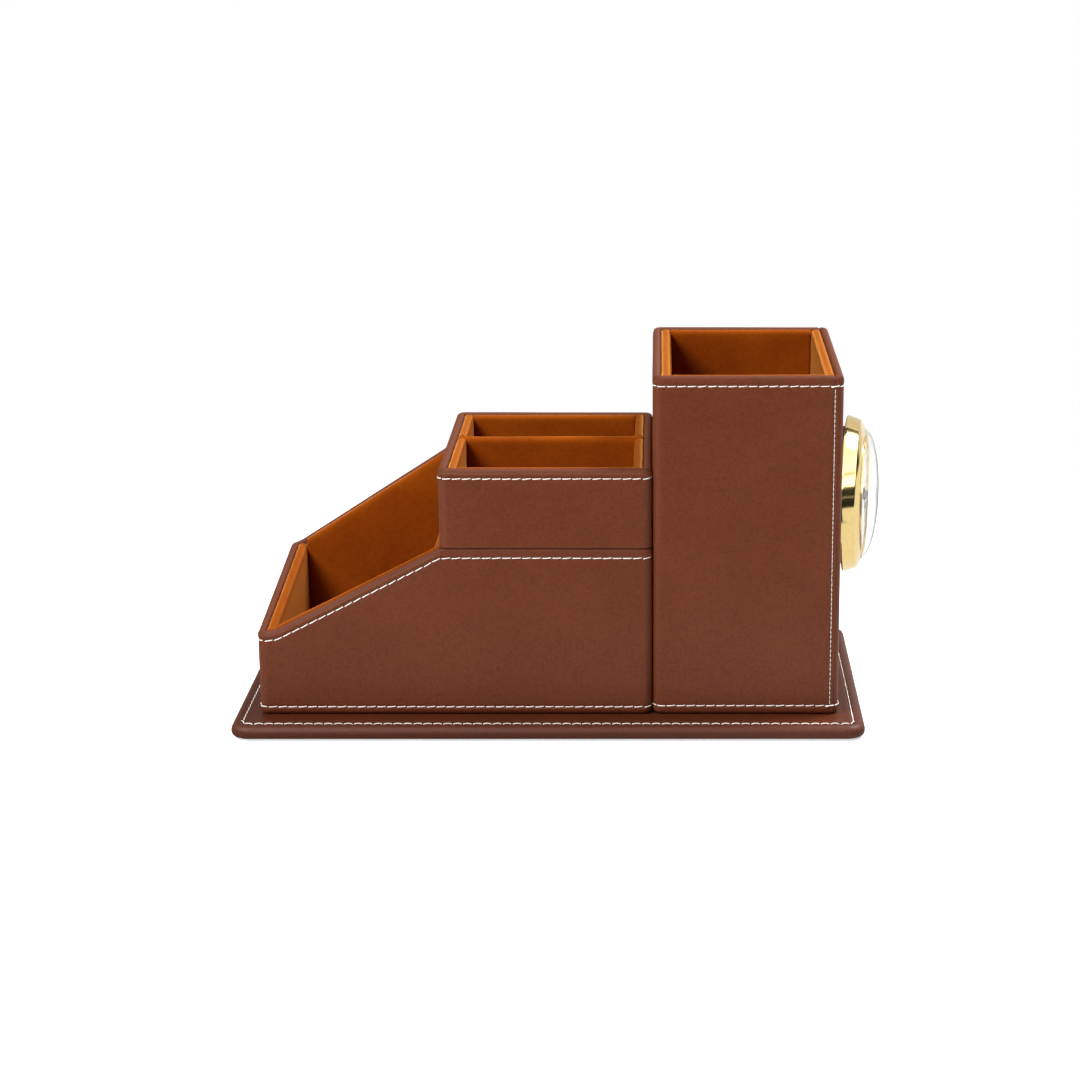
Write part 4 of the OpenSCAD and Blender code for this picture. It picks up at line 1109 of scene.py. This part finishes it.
class ORGANIZER_OT_suede_linings(bpy.types.Operator):
    """Lines the tray, the well, the caddy and the pen tower with padded suede"""
    bl_idname = "organizer.suede_linings"
    bl_label = "Suede linings"

    def execute(self, context):
        suede = context.scene.organizer_suede
        pillow = suede.pillow / MM
        front, back = FRONT + WALL, BACK - WALL

        def keep(made, nodes, body):
            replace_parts(made, *nodes)
            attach(made, body)
            return made

        def lined(name, start, end, facing, thickness, top, bottom, body, node_names=None,
                  both=False):
            made = padded_panel(name, start, end, facing, thickness, top, bottom, pillow, both,
                                seed=len(name) + start[0] / 50)
            return keep(made, node_names or [name.replace("_suede", "_lining")], body)

        left = CASE_LEFT + WALL
        tray_left, tray_right = left + LINING, WELL_LEFT - LINING
        lined("tray_front_suede", (tray_left, front), (WELL_LEFT, front), (0, 1), LINING,
              rising(tray_left, TRAY_FRONT + PROUD, SEAM + PROUD), FLOOR, "organizer")
        lined("tray_back_suede", (tray_left, back), (WELL_LEFT, back), (0, -1), LINING,
              rising(tray_left, TRAY_BACK - SINK, BACK_PANEL - SINK, BACK_RISE), FLOOR,
              "organizer")
        side = (front + RELIEF, back - RELIEF)
        across = side[1] - side[0]
        near, far = RISE_START - CORNER, across - RISE_START + CORNER
        lined("tray_left_suede", (left, side[0]), (left, side[1]), (1, 0), LINING,
              lambda a: softened(a, [0, near, far, across],
                                 [TRAY_FRONT, TRAY_FRONT, TRAY_BACK, TRAY_BACK]),
              FLOOR, "organizer")
        lined("tray_right_suede", (WELL_LEFT, front + LINING), (WELL_LEFT, back - LINING),
              (-1, 0), LINING, level(SEAM - 6.0), FLOOR, "organizer")

        well_left, well_right = WELL_LEFT + WALL, CASE_RIGHT - WALL
        for where, y, facing in (("front", front, 1), ("back", back, -1)):
            lined("well_%s_suede" % where, (well_left + LINING, y), (well_right - LINING, y),
                  (0, facing), LINING, level(LEDGE), FLOOR, "organizer")
        for where, x, facing in (("left", well_left, 1), ("right", well_right, -1)):
            lined("well_%s_suede" % where, (x, side[0]), (x, side[1]), (facing, 0), LINING,
                  level(LEDGE), FLOOR, "organizer")

        inside = [CADDY_LEFT + CADDY_WALL, CASE_RIGHT - CADDY_WALL]
        skirt = [FRONT + CADDY_WALL, BACK - CADDY_WALL]
        floor = LEDGE + 2.5
        spans = {"near": (skirt[0], DIVIDER[0]), "far": (DIVIDER[1], skirt[1])}
        for where, y, facing in (("front", skirt[0], 1), ("back", skirt[1], -1)):
            lined("caddy_%s_suede" % where, (inside[0] + CADDY_LINING, y),
                  (inside[1] - CADDY_LINING, y), (0, facing), CADDY_LINING, level(CADDY_TOP - SINK),
                  floor, "caddy")
        for part, span in spans.items():
            for where, x, facing in (("left", inside[0], 1), ("right", inside[1], -1)):
                lined("caddy_%s_%s_suede" % (part, where), (x, span[0]), (x, span[1]),
                      (facing, 0), CADDY_LINING, level(CADDY_TOP - SINK), floor, "caddy")
        lined("caddy_divider_suede", (inside[0], DIVIDER[0]), (inside[1], DIVIDER[0]), (0, 1),
              DIVIDER[1] - DIVIDER[0], level(CADDY_TOP - SINK), floor, "caddy", ["caddy_divider"],
              True)

        left, right = TOWER_LEFT + WALL, TOWER_RIGHT - WALL
        for where, y, facing in (("front", front, 1), ("back", back, -1)):
            lined("tower_%s_suede" % where, (left + LINING, y), (right - LINING, y),
                  (0, facing), LINING, level(TOWER_TOP - SINK), FLOOR, "organizer")
        for where, x, facing in (("left", left, 1), ("right", right, -1)):
            made = lined("tower_%s_suede" % where, (x, side[0]), (x, side[1]), (facing, 0),
                         LINING, level(TOWER_TOP - SINK), FLOOR, "organizer")
            if where == "right":
                cut_clock_bore(made)

        def pad(name, x, y, bottom, top, body, seed):
            keep(padded_floor(name + "_suede", x, y, bottom, top, seed), [name + "_pad"], body)

        deep = (front + LINING, back - LINING)
        pad("tray_floor", (tray_left, tray_right), deep, FLOOR, PAD_TOP, "organizer", 1.0)
        pad("well_floor", (well_left + LINING, well_right - LINING), deep, FLOOR, PAD_TOP,
            "organizer", 2.0)
        pad("tower_floor", (left + LINING, right - LINING), deep, FLOOR, PAD_TOP,
            "organizer", 3.0)
        inner = (inside[0] + CADDY_LINING, inside[1] - CADDY_LINING)
        pad("caddy_near_floor", inner, (skirt[0] + CADDY_LINING, DIVIDER[0]), floor,
            floor + 2.0, "caddy", 4.0)
        pad("caddy_far_floor", inner, (DIVIDER[1], skirt[1] - CADDY_LINING), floor,
            floor + 2.0, "caddy", 5.0)
        return {"FINISHED"}


# ---------------------------------------------------------------- clock

def filleted(points, radius, steps=4):
    """A closed outline with each corner rounded off."""
    out = []
    count = len(points)
    for i, corner in enumerate(points):
        corner = np.array(corner, float)
        before, after = np.array(points[i - 1], float), np.array(points[(i + 1) % count], float)
        a, b = before - corner, after - corner
        cut = min(radius, 0.4 * np.linalg.norm(a), 0.4 * np.linalg.norm(b))
        first, final = corner + a / np.linalg.norm(a) * cut, corner + b / np.linalg.norm(b) * cut
        for t in np.linspace(0, 1, steps):
            out.append((1 - t) ** 2 * first + 2 * t * (1 - t) * corner + t * t * final)
    return np.array(out)


def turned(name, section, segments, material, slot, sharp=35.0):
    """A turned piece of the clock: a closed section of (radius, height) spun about its axis."""
    section = np.asarray(section, float)
    angles = np.linspace(0, 2 * math.pi, segments, endpoint=False)
    points = np.array([[r * math.cos(a), r * math.sin(a), h] for a in angles for r, h in section])
    made = make_object(name, points, section_faces(segments, len(section), True), material,
                       sharp=sharp)
    made.data.transform(clock_place())
    return made


NECK, BEZEL_EDGE, BEZEL_TOP = 26.9, 34.7, 8.3
RIM = NECK + 1.7
LENS_SEAT = 7.7
DIAL_SEAT, DIAL_TOP = 7.6, 8.0


class ORGANIZER_OT_clock_face(bpy.types.Operator):
    """Makes the clock's bezel, lens, dial with its numbers, and inner ring"""
    bl_idname = "organizer.clock_face"
    bl_label = "Clock face"

    def execute(self, context):
        segments = context.scene.organizer_clock.segments
        edge = BEZEL_EDGE
        shoulder, shoulder_height = edge - 1.9, 6.3
        bezel = filleted([(edge - 0.9, 0.12), (edge, 0.12), (edge - 0.1, 1.2),
                          (shoulder, shoulder_height), (RIM, BEZEL_TOP), (RIM, LENS_SEAT),
                          (RIM - 1.4, LENS_SEAT), (RIM - 1.4, LENS_SEAT - 0.8),
                          (RIM, LENS_SEAT - 0.8), (shoulder - 1.1, shoulder_height - 1.1),
                          (edge - 0.9, 1.1)], 0.35)
        made = turned("bezel", bezel, segments, MATERIALS["gold"], "gold", 60)
        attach(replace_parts(made, "clock_bezel"), "clock")

        outer = RIM - 0.05
        sweep = np.linspace(0, math.pi / 2, 22)
        dome = [(outer * math.cos(a), LENS_SEAT + 7.0 * math.sin(a)) for a in sweep]
        dome += [((outer - 0.8) * math.cos(a), LENS_SEAT + 6.6 * math.sin(a))
                 for a in sweep[::-1]]
        made = turned("lens", dome, segments, MATERIALS["clear"], "clear", 60)
        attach(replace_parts(made, "clock_lens"), "clock")

        dial = filleted([(2.8, DIAL_SEAT), (NECK - 0.2, DIAL_SEAT), (NECK - 0.2, DIAL_TOP),
                         (2.8, DIAL_TOP)], 0.08)
        made = turned("dial", dial, segments, MATERIALS["dial_white"], "dial_white")
        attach(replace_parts(made, "clock_dial"), "clock")

        outer = NECK - 0.5
        inner_ring = filleted([(outer - 1.4, DIAL_TOP), (outer, DIAL_TOP),
                               (outer, DIAL_TOP + 1.1)], 0.12)
        made = turned("inner_ring", inner_ring, segments, MATERIALS["gold"], "gold")
        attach(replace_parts(made, "clock_inner_ring"), "clock")

        numbers = bmesh.new()
        for hour in range(1, 13):
            text = bpy.data.curves.new("number", "FONT")
            text.body = str(hour)
            text.size = 4.6 * MM
            text.align_x, text.align_y = "CENTER", "CENTER"
            text.extrude = 0.02 * MM
            flat = bpy.data.objects.new("number", text)
            context.scene.collection.objects.link(flat)
            context.view_layer.update()
            mesh = bpy.data.meshes.new_from_object(
                flat.evaluated_get(context.evaluated_depsgraph_get()))
            angle = math.radians(30 * hour)
            place = Vector((-math.cos(angle), math.sin(angle), 0)) * 19.6 * MM
            place.z = (DIAL_TOP + 0.02) * MM
            mesh.transform(Matrix.Translation(place) @ Matrix.Rotation(math.pi / 2, 4, "Z"))
            numbers.from_mesh(mesh)
            bpy.data.objects.remove(flat)
        for minute in range(60):
            angle = math.radians(6 * minute)
            long = minute % 5 == 0
            size = (1.5 if long else 0.9, 0.35 if long else 0.16, 0.04)
            middle = 23.6
            placed = (Matrix.Rotation(-angle, 4, "Z")
                      @ Matrix.Translation(Vector((-middle, 0, DIAL_TOP + 0.02)) * MM)
                      @ Matrix.Diagonal(Vector((*(s * MM for s in size), 1.0))))
            bmesh.ops.create_cube(numbers, size=1.0, matrix=placed)
        bmesh.ops.remove_doubles(numbers, verts=numbers.verts, dist=1e-7)
        mesh = bpy.data.meshes.new("dial_numbers")
        numbers.to_mesh(mesh)
        numbers.free()
        mesh.transform(clock_place())
        mesh.materials.clear()
        mesh.materials.append(MATERIALS["ink"])
        made = bpy.data.objects.new("dial_numbers", mesh)
        context.scene.collection.objects.link(made)
        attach(made, "clock")
        return {"FINISHED"}


BUSH_TOP = 8.4
HANDS = {
    # name: angle, reach, tail, width, level above the flange, pipe
    "hour_hand": (173.37, 13.0, 3.0, 2.4, BUSH_TOP + 0.2, 2.03),
    "minute_hand": (280.4, 20.0, 4.0, 1.8, BUSH_TOP + 0.8, 1.36),
    "second_hand": (264.0, 20.5, 5.0, 0.7, BUSH_TOP + 1.4, 0.69),
}


class ORGANIZER_OT_clock_hands(bpy.types.Operator):
    """Makes the clock's three hands, bevelled, on their pipes"""
    bl_idname = "organizer.clock_hands"
    bl_label = "Clock hands"

    def execute(self, context):
        for name, (angle, reach, tail, width, level_up, pipe) in HANDS.items():
            work = bmesh.new()
            blade = [(tail, width * 0.2), (0, width * 0.3), (-reach * 0.35, width / 2),
                     (-reach, 0.06), (-reach, -0.06), (-reach * 0.35, -width / 2),
                     (0, -width * 0.3), (tail, -width * 0.2)]
            face = work.faces.new([work.verts.new((x * MM, y * MM, level_up * MM))
                                   for x, y in blade])
            grown = bmesh.ops.extrude_face_region(work, geom=[face])
            top = [g for g in grown["geom"] if isinstance(g, bmesh.types.BMVert)]
            bmesh.ops.translate(work, vec=(0, 0, 0.2 * MM), verts=top)
            rims = [e for e in work.edges if all(v in top for v in e.verts)]
            bmesh.ops.bevel(work, geom=rims, offset=0.1 * MM, segments=2, profile=0.6,
                            affect="EDGES")
            hub_bottom, hub_top = 1.0, level_up + 0.3
            bmesh.ops.create_cone(
                work, cap_ends=True, segments=32, radius1=(pipe + 1.1) * MM,
                radius2=(pipe + 0.9) * MM, depth=0.34 * MM,
                matrix=Matrix.Translation((0, 0, (level_up + 0.17) * MM)))
            bmesh.ops.create_cone(
                work, cap_ends=True, segments=32, radius1=pipe * MM, radius2=pipe * MM,
                depth=(hub_top - hub_bottom) * MM,
                matrix=Matrix.Translation((0, 0, (hub_top + hub_bottom) / 2 * MM)))
            bmesh.ops.recalc_face_normals(work, faces=work.faces)
            mesh = bpy.data.meshes.new(name + "_blade")
            work.to_mesh(mesh)
            work.free()
            mesh.transform(clock_place() @ Matrix.Rotation(math.radians(-angle), 4, "Z"))
            mesh.materials.append(MATERIALS["grey_metal"])
            made = bpy.data.objects.new(name + "_blade", mesh)
            context.scene.collection.objects.link(made)
            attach(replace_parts(made, name), name)
        return {"FINISHED"}


# ---------------------------------------------------------------- boards and works

FINISHES = {
    "felt": ("base_felt", "caddy_floor_board"),
    "board": ("_board",),
    "leather": ("case_partition",),
    "black_plastic": ("clock_case", "clock_movement", "setting_knob"),
    "rubber": ("clock_fitting_ring",),
    "steel": ("clock_button_cell",),
}


class ORGANIZER_OT_frame_finishes(bpy.types.Operator):
    """Gives the boards, the felt and the clock's works their finishes"""
    bl_idname = "organizer.frame_finishes"
    bl_label = "Boards and works"

    def execute(self, context):
        for name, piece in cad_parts.items():
            found = [finish for finish, ends in FINISHES.items() if name.endswith(ends)]
            if found:
                piece.data.materials.clear()
                piece.data.materials.append(MATERIALS[found[0]])
            elif not piece.hide_render:
                raise RuntimeError("no finish is given for " + name)
        return {"FINISHED"}


# ---------------------------------------------------------------- stage

def soft_light(name, size, power, place, target, colour=(1, 1, 1)):
    lamp = bpy.data.lights.new(name, "AREA")
    lamp.shape = "RECTANGLE"
    lamp.size, lamp.size_y = size
    lamp.energy = power
    lamp.color = colour
    made = bpy.data.objects.new(name, lamp)
    made.location = place
    made.rotation_euler = (Vector(target) - Vector(place)).to_track_quat("-Z", "Y").to_euler()
    bpy.context.scene.collection.objects.link(made)
    return made


def floor_paper():
    """White paper: it keeps the soft shadow near the organizer and is plain white further off.

    In gloss it is a table that ends a little before the base plate, and further off at its right.
    """
    paper = bpy.data.materials.new("floor_paper")
    paper.use_nodes = True
    tree = paper.node_tree
    shader = tree.nodes["Principled BSDF"]
    shader.inputs["Base Color"].default_value = (0.8, 0.8, 0.8, 1)
    shader.inputs["Roughness"].default_value = 0.9
    shader.inputs["Specular IOR Level"].default_value = 0.1
    place = node(tree, "ShaderNodeTexCoord").outputs["Object"]
    across = node(tree, "ShaderNodeSeparateXYZ", {0: place}).outputs
    distance = node(tree, "ShaderNodeVectorMath", {0: place}, operation="LENGTH").outputs["Value"]
    seen = node(tree, "ShaderNodeLightPath").outputs
    direct = math_node(tree, "MAXIMUM", seen["Is Camera Ray"], seen["Is Transmission Ray"])
    glow = node(tree, "ShaderNodeEmission", {"Color": (1, 1, 1, 1)})
    tree.links.new(math_node(tree, "MULTIPLY", direct, 0.6), glow.inputs["Strength"])
    lit = node(tree, "ShaderNodeAddShader", {0: shader.outputs[0], 1: glow.outputs[0]})
    white = node(tree, "ShaderNodeEmission", {"Color": (1, 1, 1, 1), "Strength": 1.0})
    far = math_node(tree, "MULTIPLY", direct, spread(tree, distance, 0.2, 0.5))
    shown = node(tree, "ShaderNodeMixShader", {0: far, 1: lit.outputs[0], 2: white.outputs[0]})
    table = node(tree, "ShaderNodeEmission", {"Color": (1, 1, 1, 1)})
    right = spread(tree, across[0], 0.18, 0.22)
    near_edge = spread(tree, across[1], -0.21, -0.17)
    right = math_node(tree, "MULTIPLY", right, spread(tree, across[1], -0.66, -0.60))
    lit_part = math_node(tree, "MAXIMUM", near_edge, right)
    paler = spread(tree, across[0], -0.05, 0.1, 0.45, 1.0)
    shine = math_node(tree, "MULTIPLY", paler, spread(tree, lit_part, 0.0, 1.0, 0.02, 1.0))
    # A lit sheet at the left, which the rounded upright edges catch
    sheet = math_node(tree, "MULTIPLY", spread(tree, across[0], -0.12, -0.2),
                      spread(tree, across[1], -0.19, -0.22))
    sheet = math_node(tree, "MULTIPLY", sheet, spread(tree, across[1], -0.6, -0.5))
    shine = math_node(tree, "ADD", shine, math_node(tree, "MULTIPLY", sheet, 2.5))
    tree.links.new(shine, table.inputs["Strength"])
    final = node(tree, "ShaderNodeMixShader",
                 {0: seen["Is Glossy Ray"], 1: shown.outputs[0], 2: table.outputs[0]})
    tree.links.new(final.outputs[0], tree.nodes["Material Output"].inputs[0])
    return paper


def surroundings(strength):
    """White behind the organizer, even fill light, and lit panels with dark gaps in gloss."""
    world = bpy.data.worlds.new("studio")
    world.use_nodes = True
    tree = world.node_tree
    heading = node(tree, "ShaderNodeSeparateXYZ",
                   {0: node(tree, "ShaderNodeTexCoord").outputs["Generated"]}).outputs
    panels = node(tree, "ShaderNodeValToRGB", {0: heading[2]})
    ramp = panels.color_ramp
    ramp.interpolation = "LINEAR"
    ramp.elements[0].position, ramp.elements[0].color = 0.0, (0.03, 0.03, 0.03, 1)
    ramp.elements[1].position, ramp.elements[1].color = 1.0, (1.6, 1.6, 1.6, 1)
    for position, value in ((0.09, 0.03), (0.11, 0.7), (0.13, 0.03), (0.335, 0.03), (0.36, 3.4),
                            (0.55, 2.8), (0.57, 0.9), (0.61, 0.9), (0.64, 2.6)):
        ramp.elements.new(position).color = (value, value, value, 1)
    gap = math_node(tree, "MULTIPLY", spread(tree, heading[1], 0.30, 0.34),
                    spread(tree, heading[1], 0.62, 0.59))
    gap = math_node(tree, "MULTIPLY", gap, spread(tree, heading[2], 0.35, 0.4))
    glossy = mix_colour(tree, gap, panels.outputs[0], (0.05, 0.05, 0.05, 1))
    behind = spread(tree, heading[1], 0.60, 0.63)
    beyond = spread(tree, heading[0], 0.05, 0.08, 0.28, 0.75)
    grey = node(tree, "ShaderNodeCombineColor", {0: beyond, 1: beyond, 2: beyond}).outputs[0]
    glossy = mix_colour(tree, behind, glossy, grey)
    seen = node(tree, "ShaderNodeLightPath").outputs
    direct = math_node(tree, "MAXIMUM", seen["Is Camera Ray"], seen["Is Transmission Ray"])
    fill = (strength, strength, strength, 1)
    colour = mix_colour(tree, seen["Is Glossy Ray"], fill, glossy)
    colour = mix_colour(tree, direct, colour, (1, 1, 1, 1))
    back = tree.nodes["Background"]
    tree.links.new(colour, back.inputs["Color"])
    back.inputs["Strength"].default_value = 1.0
    return world


class ORGANIZER_OT_studio(bpy.types.Operator):
    """Sets up the pale floor, the soft studio light and the camera"""
    bl_idname = "organizer.studio"
    bl_label = "Studio"

    def execute(self, context):
        scene = context.scene
        settings = scene.organizer_stage
        mesh = bpy.data.meshes.new("floor")
        reach = 6.0
        mesh.from_pydata([(-reach, -reach, 0), (reach, -reach, 0), (reach, reach, 0),
                          (-reach, reach, 0)], [], [(0, 1, 2, 3)])
        floor = bpy.data.objects.new("floor", mesh)
        scene.collection.objects.link(floor)
        mesh.materials.append(floor_paper())
        scene.world = surroundings(settings.world)

        middle = (0.0, 0.0, 0.07)
        soft_light("key", (0.6, 0.6), settings.key_power, (-0.88, -0.64, 1.24), middle)
        soft_light("right", (0.6, 0.6), settings.right_power, (0.88, 0.32, 1.36), middle)
        soft_light("front", (0.7, 0.4), settings.front_power, (-0.55, -1.42, 0.68), middle)

        camera = bpy.data.cameras.new("camera")
        camera.sensor_width = 36.0
        camera.lens = 83.283
        camera.shift_x, camera.shift_y = -0.1106, -0.0188
        made = bpy.data.objects.new("camera", camera)
        made.location = (0.04773, -1.07757, 0.36888)
        made.rotation_euler = (math.radians(90 - 15.08), 0, 0)
        scene.collection.objects.link(made)
        scene.camera = made
        scene.view_settings.view_transform = "Standard"
        return {"FINISHED"}


# ---------------------------------------------------------------- add-on

class ORGANIZER_PT_panel(bpy.types.Panel):
    """Lists the organizer's pieces and their settings"""
    bl_label = "Desk organizer"
    bl_idname = "ORGANIZER_PT_panel"
    bl_space_type = "VIEW_3D"
    bl_region_type = "UI"
    bl_category = "Organizer"

    def draw(self, context):
        layout = self.layout
        for operator in OPERATORS:
            layout.operator(operator.bl_idname)
        for group in SETTINGS:
            settings = getattr(context.scene, group)
            column = layout.column(align=True)
            for name in settings.bl_rna.properties.keys():
                if name not in ("rna_type", "name"):
                    column.prop(settings, name)


SETTINGS = {
    "organizer_leather": OrganizerLeather,
    "organizer_suede": OrganizerSuede,
    "organizer_stitching": OrganizerStitching,
    "organizer_clock": OrganizerClock,
    "organizer_stage": OrganizerStage,
}
OPERATORS = (
    ORGANIZER_OT_leather_covers,
    ORGANIZER_OT_stitching,
    ORGANIZER_OT_suede_linings,
    ORGANIZER_OT_clock_face,
    ORGANIZER_OT_clock_hands,
    ORGANIZER_OT_frame_finishes,
    ORGANIZER_OT_studio,
)


def register():
    for settings in SETTINGS.values():
        bpy.utils.register_class(settings)
    for name, settings in SETTINGS.items():
        setattr(bpy.types.Scene, name, PointerProperty(type=settings))
    for cls in OPERATORS:
        bpy.utils.register_class(cls)
    bpy.utils.register_class(ORGANIZER_PT_panel)


def unregister():
    bpy.utils.unregister_class(ORGANIZER_PT_panel)
    for cls in reversed(OPERATORS):
        bpy.utils.unregister_class(cls)
    for name in SETTINGS:
        delattr(bpy.types.Scene, name)
    for settings in SETTINGS.values():
        bpy.utils.unregister_class(settings)


def main():
    register()
    make_materials(bpy.context.scene)
    for operator in OPERATORS:
        area, name = operator.bl_idname.split(".")
        getattr(getattr(bpy.ops, area), name)()


if __name__ == "__main__":
    main()
